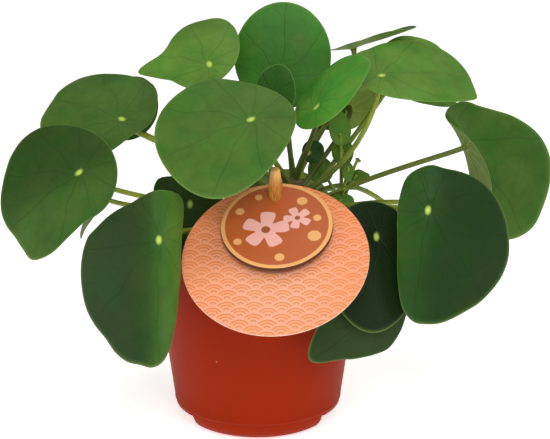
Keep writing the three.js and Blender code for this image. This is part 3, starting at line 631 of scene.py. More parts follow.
blade_count = 0
for name, leaf in LEAVES.items():
    points, flat, values, rows = blade_arrays(leaf, LOOKS.get(name, PLAIN_LOOK))
    faces = round_faces(rows, BLADE_COLUMNS)
    blade = new_piece(name + "_fine_blade", points, faces, [leaf_skin], values, flat)
    stands_for(blade, name + "_blade")
    blade_count += triangles(blade)
print("blades:", len(LEAVES), "with", blade_count, "triangles")

# %% [markdown]
# ## Petioles
#
# A petiole leaves the trunk on a rising line, arches over and meets the blade square from below. Its
# path is a cubic curve with two handles, and a circle is carried along it. A Blender curve with a
# bevel would do the same, but its mesh has open ends, and the taper is easier to say in a formula.

# %% A stalk's formula
TRUNK_FOOT = np.array([18.0, 22, 72])
TRUNK_HEAD = np.array([20.5, 18.5, 132])
UNDER_BLADE = 0.9  # mm from the middle of a blade down to the end of its stalk
ARCH = 0.35  # length of the first handle as a share of the reach, where a leaf's row doesn't say


def on_trunk(height):
    """Point of the trunk's axis at a height."""
    return TRUNK_FOOT + (TRUNK_HEAD - TRUNK_FOOT) * (height - TRUNK_FOOT[2]) / (TRUNK_HEAD[2] - TRUNK_FOOT[2])


def petiole_handles(leaf):
    """The four points of the cubic: on the trunk, along the leaving direction, back from the blade
    against its normal, and just under the blade."""
    turned, to = leaf_frame(leaf["at"], leaf["tilt"], leaf["faces"], leaf["tip"])
    start = on_trunk(leaf["node"])
    reach = np.linalg.norm(to - start)
    x, y, z = (to - start) / reach
    swing = math.radians(leaf.get("swing", 0))
    leave = np.array([x * math.cos(swing) - y * math.sin(swing), x * math.sin(swing) + y * math.cos(swing),
                      z + leaf["rise"]])
    leave /= np.linalg.norm(leave)
    down = -turned[:, 2]
    return (start, start + leave * reach * leaf.get("arch", ARCH), to + down * reach * leaf["arrive"],
            to + down * UNDER_BLADE)


def cubic(handles, s):
    """(1-s)^3 a + 3(1-s)^2 s b + 3(1-s) s^2 c + s^3 d, and its slope."""
    a, b, c, d = (np.asarray(h)[None] for h in handles)
    s = s[:, None]
    place = (1 - s) ** 3 * a + 3 * (1 - s) ** 2 * s * b + 3 * (1 - s) * s ** 2 * c + s ** 3 * d
    slope = 3 * (1 - s) ** 2 * (b - a) + 6 * (1 - s) * s * (c - b) + 3 * s ** 2 * (d - c)
    return place, slope / np.linalg.norm(slope, axis=1, keepdims=True)


def stalk_arrays(handles, radius_of, steps=36, sides=14):
    """A circle carried along the cubic: side and up directions are square to the slope, the side one
    starting level with the whole stalk; radius_of gives the radius at each share of the length."""
    s = np.linspace(0, 1, steps)
    place, slope = cubic(handles, s)
    level = np.cross([0, 0, 1.0], handles[3] - handles[0])
    level /= np.linalg.norm(level)
    side = level - slope * (slope @ level)[:, None]
    side /= np.linalg.norm(side, axis=1, keepdims=True)
    up = np.cross(slope, side)
    turn = np.arange(sides) / sides * 2 * np.pi
    ring = np.cos(turn)[None, :, None] * side[:, None] + np.sin(turn)[None, :, None] * up[:, None]
    rows = place[:, None] + ring * radius_of(s)[:, None, None]
    along = np.concatenate([[0], np.repeat(s, sides), [1]])
    return round_points(place[0], rows[:, ::-1], place[-1]), along, steps, sides


def petiole_radius(s):
    """1.45 mm, plus 0.45 mm at the trunk that fades over 0.12 of the length, and a short flare of
    0.5 mm under the blade."""
    return 1.45 + 0.45 * np.exp(-s / 0.12) + 0.5 * np.exp(-(1 - s) / 0.025)


print("leaf_07's stalk leaves the trunk at", on_trunk(LEAVES["leaf_07"]["node"]).round(1).tolist(), "mm")

# %% Every leaf's petiole
# painted shade of the stalks that stand in the crown's shadow, from 0 light to 1 dark
STALK_PAINTED_SHADES = {"leaf_08": 0.75, "leaf_09": 0.8, "leaf_10": 0.7, "leaf_12": 0.5, "leaf_13": 0.6,
                "leaf_17": 0.6}

stalk_count = 0
for name, leaf in LEAVES.items():
    points, along, steps, sides = stalk_arrays(petiole_handles(leaf), petiole_radius)
    numbers = {"along": along, "painted_shade": np.full(len(points), STALK_PAINTED_SHADES.get(name, 0))}
    stalk = new_piece(name + "_fine_petiole", points, round_faces(steps, sides), [stalk_skin], numbers)
    stands_for(stalk, name + "_petiole")
    stalk_count += triangles(stalk)
print("petioles:", len(LEAVES), "with", stalk_count, "triangles")

# %% [markdown]
# ## Turned pieces
#
# The pot, the peg and the label's card and disc are all turned: a profile of radius and height runs
# round an axis. One function turns a profile, and another rounds the corners of one, as a mould or a
# lathe leaves them. The pot turns two profiles and blends them by the angle, for its cut-back foot.

# %% A turned surface
def turned_rows(profile, columns):
    """Each profile point (r, z) runs round the axis: x = r cos t, y = r sin t, z."""
    turn = np.arange(columns) / columns * 2 * np.pi
    r, z = profile[:, 0, None], profile[:, 1, None]
    return np.stack([r * np.cos(turn), r * np.sin(turn), z + 0 * turn], -1)


def rounded_profile(corners, steps=3):
    """A list of (r, z, rounding) corners to a profile, each corner cut back by its rounding and joined
    by a quadratic arc."""
    corners = [np.array(c, float) for c in corners]
    points = [corners[0][:2]]
    for before, here, after in zip(corners, corners[1:], corners[2:]):
        cut = here[2]
        if cut == 0:
            points.append(here[:2])
            continue
        back = before[:2] - here[:2]
        on = after[:2] - here[:2]
        start = here[:2] + back * min(0.5, cut / np.linalg.norm(back))
        stop = here[:2] + on * min(0.5, cut / np.linalg.norm(on))
        for s in np.linspace(0, 1, steps + 1):
            points.append((1 - s) ** 2 * start + 2 * (1 - s) * s * here[:2] + s ** 2 * stop)
    points.append(corners[-1][:2])
    return np.array(points)


print("a rounded square corner:", rounded_profile([(0, 0, 0), (5, 0, 1), (5, 5, 0)]).round(2).tolist())

# %% [markdown]
# ## Pot
#
# The pot is an injection-moulded nursery pot in terracotta-coloured polypropylene: a tapered wall,
# a thicker band at the rim, a rounded foot that is cut back on two sides where the drain holes are,
# and a faint raised line low on the wall where the mould's base met its sides. Moulded
# polypropylene is smooth and half matt, and looks darker and more saturated where it is shaded.

# %% The pot's material
def pot_material():
    material = new_material("moulded_polypropylene_pot")
    place = add(material, "ShaderNodeTexCoord", {}, {}).outputs["Object"]
    cloud = add(material, NOISE, {}, {"Vector": place, "Scale": 14.0, "Detail": 3.0})
    colour = add(material, MIX, COLOURS, {0: cloud, 6: linear("#8e2405"), 7: linear("#962606")})
    # pale dust specks of about 1 mm, some 25 mm apart
    cells = add(material, "ShaderNodeTexVoronoi", {}, {"Vector": place, "Scale": 40.0})
    speck = add(material, RANGE, {}, {0: cells, 1: 0.012, 2: 0.03, 3: 0.5, 4: 0.0})
    dusty = add(material, MIX, COLOURS, {0: speck, 6: colour, 7: linear("#d99a84")})
    # a satin mould texture of 0.4 mm
    grain = add(material, NOISE, {}, {"Vector": place, "Scale": 2500.0, "Detail": 2.0})
    skin = add(material, BUMP, {}, {"Strength": 0.1, "Distance": 0.0002, "Height": grain})
    shader = add(material, PRINCIPLED, {}, {"Base Color": dusty, "Roughness": 0.5, "Normal": skin,
                                            "IOR": 1.49, "Specular IOR Level": 0.06})
    return finished(material, shader)


pot_plastic = pot_material()

# %% The pot's profiles
# outer radii and heights, in mm
RIM, HEIGHT = 60.5, 108.0
BAND_FOOT = 97.0
WALL_TOP, WALL_FOOT = 58.5, 46.5
WALL = 1.8
POT_FLOOR = 2.5  # its thickness
FLAT_FOOT = 37  # radius of the underside, where the foot starts to curve up
FOOT = 8.5  # height of the foot's curve, and of the recesses in it
FOOT_POINTS = 14
RECESS = 36.0  # radius of the wall at the back of a recess
LINE = 11.5  # height of the mould's line
POT_COLUMNS = 360


def wall_radius(z):
    """Outer radius of the wall, a straight taper from the foot's curve up to the band."""
    return WALL_FOOT + (WALL_TOP - WALL_FOOT) * (z - FOOT) / (BAND_FOOT - FOOT)


foot_turn = np.linspace(0, 1, FOOT_POINTS) * math.pi / 2
foot_share = foot_turn / (math.pi / 2)
# a quarter circle, drawn out by 1.5 mm to meet the wall
foot_curve = np.stack([FLAT_FOOT + FOOT * np.sin(foot_turn),
                       FOOT * (1 - np.cos(foot_turn)) + 1.5 * foot_share], -1)
wall_steps = np.array([LINE - 0.5, LINE - 0.2, LINE + 0.2, LINE + 0.5, 25, 40, 55, 70, 85, BAND_FOOT - 1.2])
raised = np.array([0, 0.18, 0.18, 0, 0, 0, 0, 0, 0, 0])
wall_profile = np.stack([wall_radius(wall_steps) + raised, wall_steps], -1)
band = rounded_profile([(WALL_TOP - 0.15, BAND_FOOT - 1, 0), (WALL_TOP, BAND_FOOT, 0.3),
                        (RIM - 0.4, BAND_FOOT + 1, 0.6), (RIM, HEIGHT, 0.9), (RIM - WALL - 0.6, HEIGHT, 0.9),
                        (WALL_TOP - WALL, BAND_FOOT, 0.6), (44.9, 11, 1), (36, 10.5, 0)])
underside = np.array([(2, 0), (18, 0), (36.2, 0)])
inside = np.array([(34.2, 9), (34.2, POT_FLOOR), (18, POT_FLOOR), (2, POT_FLOOR)])
full = np.concatenate([underside, foot_curve, wall_profile, band[1:], inside])
# the same profile with a recess in place of the foot's curve: points up its wall, out under its roof,
# and one on the pot's wall
recess_wall = np.stack([np.full(7, RECESS), np.linspace(0, FOOT - 0.3, 7)], -1)
recess_roof = np.stack([np.linspace(RECESS + 0.4, 45.8, 6), np.full(6, FOOT)], -1)
cut = full.copy()
cut[len(underside):len(underside) + FOOT_POINTS] = np.concatenate([recess_wall, recess_roof, [(46.4, 9.0)]])
print("pot profile:", len(full), "points")

# %% The pot
RECESS_HALF, RECESS_EDGE = 37, 0.25  # degrees from a recess's middle to its edge, and the edge's softness
HOLE_CIRCLE, HOLE_RADIUS = 43.2, 3  # radius of the circle that the holes lie on, and of a hole
HOLE_TURN = 24.7  # degrees from one hole to the next
ROD_SIDES, ROD_LENGTH = 24, 8

turn = np.arange(POT_COLUMNS) / POT_COLUMNS * 2 * np.pi
from_side = np.degrees(np.abs(np.angle(np.exp(2j * turn)))) / 2  # degrees from the nearer of +X and -X
recessed = (1 / (1 + np.exp((from_side - RECESS_HALF) / RECESS_EDGE)))[None, :, None]
rows = turned_rows(full, POT_COLUMNS) * (1 - recessed) + turned_rows(cut, POT_COLUMNS) * recessed
pot_shell = new_piece("moulded_pot", round_points((0, 0, 0), rows[:, ::-1], (0, 0, POT_FLOOR)),
                      round_faces(len(full), POT_COLUMNS), [pot_plastic])


def cut_holes(made, places, radius, length):
    """Upright round holes: rods with flat sides, subtracted from the piece."""
    ends = np.array([(radius, -length / 2), (radius, length / 2)])
    points, faces = [], []
    for x, y, z in places:
        rows = turned_rows(ends, ROD_SIDES) + (x, y, z)
        faces += round_faces(2, ROD_SIDES, sum(len(p) for p in points))
        points.append(round_points((x, y, z - length / 2), rows[:, ::-1], (x, y, z + length / 2)))
    rods = new_piece("drain_rods", np.concatenate(points), faces, [])
    cutter = made.modifiers.new("drain_holes", "BOOLEAN")
    cutter.operation, cutter.solver, cutter.object = "DIFFERENCE", "EXACT", rods
    bpy.context.view_layer.update()
    cut_mesh = bpy.data.meshes.new_from_object(made.evaluated_get(bpy.context.evaluated_depsgraph_get()))
    made.modifiers.clear()
    made.data = cut_mesh
    bpy.data.objects.remove(rods)


holes = [(HOLE_CIRCLE * math.cos(a + side), HOLE_CIRCLE * math.sin(a + side), FOOT)
         for side in (0, math.pi) for a in np.radians([-HOLE_TURN, 0, HOLE_TURN])]
cut_holes(pot_shell, holes, HOLE_RADIUS, ROD_LENGTH)
stands_for(pot_shell, "pot")
print("pot:", triangles(pot_shell), "triangles, rim", 2 * RIM, "mm across")

# %% [markdown]
# ## Soil
#
# Potting soil is a dark crumbly peat mix. From the front the leaves and the label hide it, but from
# above it shows between the stalks. Its lumps are made by adding slow and fast waves in many
# directions, which needs no random numbers. Its crumbs are too small for the mesh and are in the bump.

# %% The soil's material
def soil_material():
    material = new_material("peat_potting_soil")
    place = add(material, "ShaderNodeTexCoord", {}, {}).outputs["Object"]
    crumbs = add(material, "ShaderNodeTexVoronoi", {}, {"Vector": place, "Scale": 450.0})
    cloud = add(material, NOISE, {}, {"Vector": place, "Scale": 90.0, "Detail": 5.0})
    dark = add(material, MIX, COLOURS, {0: cloud, 6: linear("#1d1410"), 7: linear("#4a3426")})
    # crumbs of about 2 mm, a few of them pale perlite
    white = add(material, MATHS, {"operation": "GREATER_THAN"}, {0: crumbs.outputs["Color"], 1: 0.93})
    colour = add(material, MIX, COLOURS, {0: white, 6: dark, 7: linear("#8d7a66")})
    skin = add(material, BUMP, {}, {"Strength": 0.8, "Distance": 0.0012, "Height": crumbs})
    shader = add(material, PRINCIPLED, {}, {"Base Color": colour, "Roughness": 0.95, "Normal": skin,
                                            "Specular IOR Level": 0.2})
    return finished(material, shader)


soil_mix = soil_material()

# %% The soil
SOIL_LEVEL, SOIL_FOOT = 98, 11.2  # height in mm near the wall, and of the underside
MOUND = 3  # how much higher the middle is
SOIL_AIR = 0.6  # mm between the soil and the pot's wall
SOIL_ROWS, SOIL_COLUMNS = 60, 150
SOIL_WAVES, LONGEST_WAVE = 12, 20


def crumbly(x, y):
    """Height of the soil's lumps: twelve waves from 20 mm down to 3 mm long, each in its own
    direction, the short ones lower."""
    k = np.arange(SOIL_WAVES)
    way, pitch = k * 2.4, LONGEST_WAVE * 0.85 ** k
    wave = np.sin((x[..., None] * np.cos(way) + y[..., None] * np.sin(way)) * 2 * np.pi / pitch + k)
    return (wave * (0.07 * pitch ** 0.8)).sum(-1)


soil_radius = wall_radius(SOIL_LEVEL) - WALL - SOIL_AIR
soil_share = np.linspace(0.02, 1, SOIL_ROWS)[:, None]
soil_turn = np.arange(SOIL_COLUMNS) / SOIL_COLUMNS * 2 * np.pi
soil_x = soil_radius * soil_share * np.cos(soil_turn)
soil_y = soil_radius * soil_share * np.sin(soil_turn)
soil_fade = 1 - soil_share ** 8  # the lumps die out at the wall
soil_z = SOIL_LEVEL - 2 * soil_share + MOUND * (1 - soil_share) + crumbly(soil_x, soil_y) * soil_fade
soil_top = np.stack([soil_x, soil_y, soil_z], -1)
soil_low = turned_rows(np.array([(wall_radius(60) - WALL - SOIL_AIR, 60),
                                 (wall_radius(12) - WALL - 2 * SOIL_AIR, SOIL_FOOT), (20, SOIL_FOOT)]),
                       SOIL_COLUMNS)
soil_rows = np.concatenate([soil_top, soil_low])
soil = new_piece("crumbly_soil", round_points((0, 0, SOIL_LEVEL + MOUND), soil_rows, (0, 0, SOIL_FOOT)),
                 round_faces(len(soil_rows), SOIL_COLUMNS), [soil_mix])
stands_for(soil, "soil")
print("soil:", triangles(soil), "triangles, mound to", round(float(soil_z.max()), 1), "mm")

# %% [markdown]
# ## Trunk
#
# The trunk of a money plant is short, woody and olive brown, ringed by the scars of old leaves. Its
# radius follows the scars as a row of rounded steps, and the bark is streaked.

# %% The bark
def bark_material():
    material = new_material("scarred_green_bark")
    place = add(material, "ShaderNodeTexCoord", {}, {}).outputs["Object"]
    # streaks 2 mm wide and 8 mm long
    streaks = add(material, "ShaderNodeMapping", {}, {"Vector": place, "Scale": (1, 1, 0.25)})
    cloud = add(material, NOISE, {}, {"Vector": streaks, "Scale": 500.0, "Detail": 5.0})
    colour = add(material, MIX, COLOURS, {0: cloud, 6: linear("#3b3220"), 7: linear("#7d7046")})
    skin = add(material, BUMP, {}, {"Strength": 0.6, "Distance": 0.0008, "Height": cloud})
    shader = add(material, PRINCIPLED, {}, {"Base Color": colour, "Roughness": 0.8, "Normal": skin})
    return finished(material, shader)


bark = bark_material()

# %% The trunk
TRUNK_ROWS, TRUNK_SIDES = 60, 32
TRUNK_RADIUS, TRUNK_TAPER = 7, 2  # radius at the foot, and how much less it is at the head
SCAR_PITCH, SCAR_RIDGE = 8.6, 0.5  # mm from one scar to the next, and how far its ridge stands out


def trunk_rows():
    """Radius from 7 mm down to 5 mm, plus a scar's ridge every 8.6 mm, and three low bulges round it
    that turn with the height."""
    s = np.linspace(0, 1, TRUNK_ROWS)
    turn = np.arange(TRUNK_SIDES) / TRUNK_SIDES * 2 * np.pi
    height = s * np.linalg.norm(TRUNK_HEAD - TRUNK_FOOT)
    ridge = SCAR_RIDGE * np.abs(np.cos(np.pi * height / SCAR_PITCH)) ** 6
    bulges = 0.25 * np.cos(3 * turn[None] + height[:, None] / 5)
    radius = (TRUNK_RADIUS - TRUNK_TAPER * s + ridge)[:, None] + bulges
    centre = TRUNK_FOOT + (TRUNK_HEAD - TRUNK_FOOT) * s[:, None]
    ring = np.stack([np.cos(turn), np.sin(turn), 0 * turn], -1)
    return centre[:, None] + ring[None] * radius[..., None]


trunk = new_piece("scarred_trunk", round_points(TRUNK_FOOT, trunk_rows()[:, ::-1], TRUNK_HEAD + (0, 0, 2.5)),
                  round_faces(TRUNK_ROWS, TRUNK_SIDES), [bark])
stands_for(trunk, "trunk")
print("trunk:", triangles(trunk), "triangles")

# %% [markdown]
# ## Printed label
#
# The label is a round card, 1 mm thick, that lies on the pot's rim and is threaded on the peg. It is
# printed with the traditional wave pattern of overlapping arcs, orange on salmon pink. The pattern is
# pure geometry, so it is drawn with maths: the card is divided into rows of circles, every row half a
# circle to the side and a quarter of a circle higher than the one before. A lower row lies in front,
# and the distance from the centre of the circle in front gives the ring's colour.

# %% The card's print
WAVE_RADIUS = 7.2  # mm; the pattern repeats every 14.4 mm across and every 7.4 mm up
WAVE_RISE = 3.7
TO_MM = (UV_UNIT, UV_UNIT, UV_UNIT)  # turns the UV map's units to millimetres
PATTERN_TURN = math.radians(-2.5)
PATTERN_SHIFT = (2.2, 1.0, 0)


def wave_distance(material, x, y, row_shift):
    """Distance in mm from (x, y) to the nearest centre in the row that lies row_shift rows below:
    row = floor(y/rise) - shift, and every second row's centres are moved by one radius."""
    row_up = add(material, MATHS, {"operation": "DIVIDE"}, {0: y, 1: WAVE_RISE})
    row_floor = add(material, MATHS, {"operation": "FLOOR"}, {0: row_up})
    row = add(material, MATHS, {"operation": "SUBTRACT"}, {0: row_floor, 1: float(row_shift)})
    low = add(material, MATHS, {"operation": "MULTIPLY"}, {0: row, 1: WAVE_RISE})
    up = add(material, MATHS, {"operation": "SUBTRACT"}, {0: y, 1: low})
    odd = add(material, MATHS, {"operation": "FLOORED_MODULO"}, {0: row, 1: 2.0})
    aside = add(material, MATHS, {"operation": "MULTIPLY"}, {0: odd, 1: WAVE_RADIUS})
    moved = add(material, MATHS, {"operation": "ADD"}, {0: x, 1: aside})
    across = add(material, MATHS, {"operation": "PINGPONG"}, {0: moved, 1: WAVE_RADIUS})
    pair = add(material, "ShaderNodeCombineXYZ", {}, {0: across, 1: up})
    return add(material, VECTOR, {"operation": "LENGTH"}, {0: pair})


def card_print_material():
    material = new_material("printed_label_card")
    flat = add(material, "ShaderNodeUVMap", {"uv_map": "flat_mm"}, {})
    turned = add(material, "ShaderNodeMapping", {}, {"Vector": flat, "Rotation": (0, 0, PATTERN_TURN),
                                                     "Scale": TO_MM, "Location": PATTERN_SHIFT})
    place = add(material, "ShaderNodeSeparateXYZ", {}, {0: turned})
    front = wave_distance(material, place.outputs["X"], place.outputs["Y"], 1)
    behind = wave_distance(material, place.outputs["X"], place.outputs["Y"], 0)
    in_front = add(material, MATHS, {"operation": "LESS_THAN"}, {0: front, 1: WAVE_RADIUS})
    reach = add(material, MIX, {"data_type": "FLOAT"}, {0: in_front, 2: behind, 3: front})

    # rings by distance from the centre: two orange bands with darker edges, and a small arc inside
    share = add(material, MATHS, {"operation": "DIVIDE"}, {0: reach, 1: WAVE_RADIUS})
    rings = add(material, "ShaderNodeValToRGB", {}, {0: share})
    stops = [(0.0, "#f3a98c"), (0.16, "#f3a98c"), (0.2, "#df8a55"), (0.28, "#df8a55"), (0.33, "#f8b08c"),
             (0.44, "#f8b08c"), (0.48, "#df8a55"), (0.55, "#e08c58"), (0.6, "#fba878"), (0.69, "#fba878"),
             (0.73, "#df8a55"), (0.8, "#e08c58"), (0.85, "#fab08c"), (0.93, "#f5ad92"), (1.0, "#f9b596")]
    ramp = rings.color_ramp
    while len(ramp.elements) < len(stops):
        ramp.elements.new(0.5)
    for element, (at, colour) in zip(ramp.elements, stops):
        element.position, element.color = at, linear(colour)
    cloud = add(material, NOISE, FLAT_NOISE, {"Vector": flat, "Scale": 3.0, "Detail": 2.0})
    warm = add(material, RANGE, {}, {0: cloud, 1: 0.35, 2: 0.65, 3: 0.0, 4: 0.3})
    colour = add(material, MIX, COLOURS, {0: warm, 6: rings, 7: linear("#f6a06a")})
    # the print is a deeper orange towards the upper edge: by the distance from a point low on the card
    off = add(material, VECTOR, {"operation": "DISTANCE"}, {0: flat, 1: (0, -0.2, 0)})
    deep = add(material, RANGE, {}, {0: off, 1: 0.1, 2: 0.7, 3: 0.0, 4: 1.0})
    print_tone = add(material, MIX, {"data_type": "RGBA", "blend_type": "MULTIPLY"},
                     {0: deep, 6: colour, 7: linear("#ffdcb8")})
    grain = add(material, NOISE, FLAT_NOISE, {"Vector": flat, "Scale": 400.0})
    skin = add(material, BUMP, {}, {"Strength": 0.05, "Distance": 0.0002, "Height": grain})
    shader = add(material, PRINCIPLED, {}, {"Base Color": print_tone, "Roughness": 0.5, "Normal": skin})
    return finished(material, shader)


def bare_card_material():
    """The cut edge and the back: paper fibres, with a painted warm tint for the light they take from the
    print and the pot.
    """
    material = new_material("bare_white_card")
    place = add(material, "ShaderNodeTexCoord", {}, {}).outputs["Object"]
    fibre = add(material, NOISE, {}, {"Vector": place, "Scale": 900.0, "Detail": 4.0})
    colour = add(material, MIX, COLOURS, {0: fibre, 6: linear("#e3b095"), 7: linear("#eec0a4")})
    shader = add(material, PRINCIPLED, {}, {"Base Color": colour, "Roughness": 0.8})
    return finished(material, shader)


card_print = card_print_material()
bare_card = bare_card_material()

# %% [markdown]
# The card and the disc are placed by the same steps as their solids: the card touches the rim, leans
# 35.5 degrees off the level and faces the front; the disc hangs from a point near the card's upper
# edge and stands off it by a few degrees.

# %% A round plate
PLATE_COLUMNS = 128
FACE_ROWS = 18


def plate(name, radius, thickness, low, turned, centre, materials):
    """A round plate with softly rounded edges: rows from the middle of its face to the edge, round it
    and back to the middle below; the face has the first material and the rest the second."""
    soft = min(0.3, thickness * 0.3)
    share = np.linspace(0.05, 1, FACE_ROWS)
    face = np.stack([(radius - soft) * share, np.full(FACE_ROWS, thickness)], -1)
    bend = np.linspace(0, math.pi / 2, 5)[1:]
    top = np.stack([radius - soft + soft * np.sin(bend), thickness - soft + soft * np.cos(bend)], -1)
    foot = np.stack([radius - soft + soft * np.cos(bend), soft - soft * np.sin(bend)], -1)
    profile = np.concatenate([face, top, [(radius, soft)], foot, [(radius / 2, 0)]])
    rows = turned_rows(profile, PLATE_COLUMNS)
    flat = np.concatenate([[[0, 0]], rows[..., :2].reshape(-1, 2), [[0, 0]]])
    shifted = np.concatenate([[[0, 0, thickness]], rows.reshape(-1, 3), [[0, 0, 0]]]) + [0, 0, low]
    points = (shifted @ turned.T + centre) * MM
    faces = round_faces(len(profile), PLATE_COLUMNS)
    below = np.repeat(np.arange(len(profile) - 1), PLATE_COLUMNS) > FACE_ROWS
    chosen = np.concatenate([below, np.zeros(PLATE_COLUMNS), np.ones(PLATE_COLUMNS)]).astype(int)
    return new_piece(name, points, faces, materials, flat=flat, chosen=chosen)


print("a plate's face has", FACE_ROWS, "rings of", PLATE_COLUMNS, "points")

# %% The card
CARD_RADIUS, CARD_THICKNESS = 49.4, 1.0
CARD_LEAN, CARD_FACES = 35.5, -96.4  # degrees
AIR = 0.3  # mm between two pieces that touch in life

card_way = math.radians(CARD_FACES)
card_turn, _ = leaf_frame((0, 0, 0), CARD_LEAN, CARD_FACES, 90)
rim_point = np.array([RIM * math.cos(card_way), RIM * math.sin(card_way), HEIGHT])
from_rim = np.array([16.4, 4.4, AIR + CARD_THICKNESS])  # across, up and off the card
card_centre = rim_point + card_turn @ from_rim
card = plate("wave_label_card", CARD_RADIUS, CARD_THICKNESS, -CARD_THICKNESS, card_turn, card_centre,
             [card_print, bare_card])
stands_for(card, "label_card")
print("card centre", card_centre.round(1).tolist(), "mm,", triangles(card), "triangles")

# %% [markdown]
# ## Disc
#
# The smaller disc is a thick round of brown board with a pale orange border. Its picture is a plain
# spray of two pink blossoms and a scatter of pale orange dots, all drawn with distances: a dot is
# where the distance from its centre is under its radius, and a blossom's edge waves in and out once
# for each of its five petals.

# %% The disc's print
# each at (x, y) from the middle, with its radius, in mm
DOTS = [(20.5, -6.5, 3.6), (12, 17.5, 2.8), (21, 6, 2.2), (-20.5, 8.5, 2.4), (-11.5, 19, 2),
        (-19.5, -12.5, 2.2), (3.5, -22, 2.6)]
BLOSSOMS = [(-5.5, -3.5, 12.5), (10.5, 5.5, 7.5)]
PETALS = 5
BORDER = (27.2, 27.7)  # the picture ends and the border is full at these radii


def disc_print_material():
    """A dot is drawn where its centre is nearer than its radius. A blossom's radius waves with the
    angle as the absolute cosine of half as many turns as it has petals."""
    material = new_material("printed_board_disc")
    flat = add(material, "ShaderNodeUVMap", {"uv_map": "flat_mm"}, {})
    scaled = add(material, "ShaderNodeMapping", {}, {"Vector": flat, "Scale": TO_MM})
    cloud = add(material, NOISE, FLAT_NOISE, {"Vector": flat, "Scale": 6.0, "Detail": 3.0})
    colour = add(material, MIX, COLOURS, {0: cloud, 6: linear("#b5521d"), 7: linear("#bf6026")})
    for x, y, radius in DOTS:
        off = add(material, VECTOR, {"operation": "DISTANCE"}, {0: scaled, 1: (x, y, 0)})
        dot = add(material, RANGE, SMOOTH, {0: off, 1: radius - 0.25, 2: radius + 0.25, 3: 1.0, 4: 0.0})
        colour = add(material, MIX, COLOURS, {0: dot, 6: colour, 7: linear("#eeac68")})
    for x, y, size in BLOSSOMS:
        centred = add(material, VECTOR, {"operation": "SUBTRACT"}, {0: scaled, 1: (x, y, 0)})
        split = add(material, "ShaderNodeSeparateXYZ", {}, {0: centred})
        far = add(material, VECTOR, {"operation": "LENGTH"}, {0: centred})
        angle = add(material, MATHS, {"operation": "ARCTAN2"}, {0: split.outputs["X"], 1: split.outputs["Y"]})
        waves = add(material, MATHS, {"operation": "MULTIPLY_ADD"}, {0: angle, 1: PETALS / 2, 2: size})
        wave = add(material, MATHS, {"operation": "COSINE"}, {0: waves})
        petal = add(material, MATHS, {"operation": "ABSOLUTE"}, {0: wave})
        reach = add(material, RANGE, {"interpolation_type": "SMOOTHERSTEP"},
                    {0: petal, 1: 0.0, 2: 0.9, 3: size * 0.45, 4: size})
        inside = add(material, MATHS, {"operation": "SUBTRACT"}, {0: reach, 1: far})
        blossom = add(material, RANGE, SMOOTH, {0: inside, 1: -0.3, 2: 0.3, 3: 0.0, 4: 1.0})
        colour = add(material, MIX, COLOURS, {0: blossom, 6: colour, 7: linear("#f3b3a8")})
        heart = add(material, RANGE, SMOOTH, {0: far, 1: size * 0.16, 2: size * 0.22, 3: 1.0, 4: 0.0})
        colour = add(material, MIX, COLOURS, {0: heart, 6: colour, 7: linear("#a3522a")})

    middle = add(material, VECTOR, {"operation": "LENGTH"}, {0: scaled})
    border = add(material, RANGE, SMOOTH, {0: middle, 1: BORDER[0], 2: BORDER[1], 3: 0.0, 4: 1.0})
    colour = add(material, MIX, COLOURS, {0: border, 6: colour, 7: linear("#efad66")})
    return finished(material, add(material, PRINCIPLED, {}, {"Base Color": colour, "Roughness": 0.5}))


def board_edge_material():
    material = new_material("brown_board_edge_and_painted_shade")
    place = add(material, "ShaderNodeTexCoord", {}, {}).outputs["Object"]
    fibre = add(material, NOISE, {}, {"Vector": place, "Scale": 1200.0, "Detail": 3.0})
    # the board's own dark brown, painted darker still for the shade on the edge
    colour = add(material, MIX, COLOURS, {0: fibre, 6: linear("#4a2210"), 7: linear("#63331a")})
    shader = add(material, PRINCIPLED, {}, {"Base Color": colour, "Roughness": 0.8})
    return finished(material, shader)


disc_print = disc_print_material()
board_edge = board_edge_material()

# %% The disc
DISC_RADIUS, DISC_THICKNESS = 29.7, 2.5
DISC_LIFT = -3.5  # degrees off the card


def about_x(degrees):
    """A turn about the X axis."""
    turn = math.radians(degrees)
    return np.array([[1, 0, 0], [0, math.cos(turn), -math.sin(turn)], [0, math.sin(turn), math.cos(turn)]])


disc_turn = card_turn @ about_x(DISC_LIFT)
disc_top = card_centre + card_turn @ np.array([-0.6, 47.4, AIR])  # near the card's upper edge
disc_centre = disc_top + disc_turn @ np.array([0, -DISC_RADIUS, 0])
disc = plate("blossom_label_disc", DISC_RADIUS, DISC_THICKNESS, 0, disc_turn, disc_centre,
             [disc_print, board_edge])
stands_for(disc, "label_disc")
print("disc centre", disc_centre.round(1).tolist(), "mm")

# %% [markdown]
# ## Peg
#
# The peg is a turned stick of golden brown wood, tapered and paler at its top, that goes through both
# rounds and down into the soil. Its grain runs along it, so the wood's noise is stretched that way.

# %% The peg's wood
PALE_FROM, PALE_AT = 0.10, 0.17  # the end turns pale from 10 to 17 mm above the peg's zero point


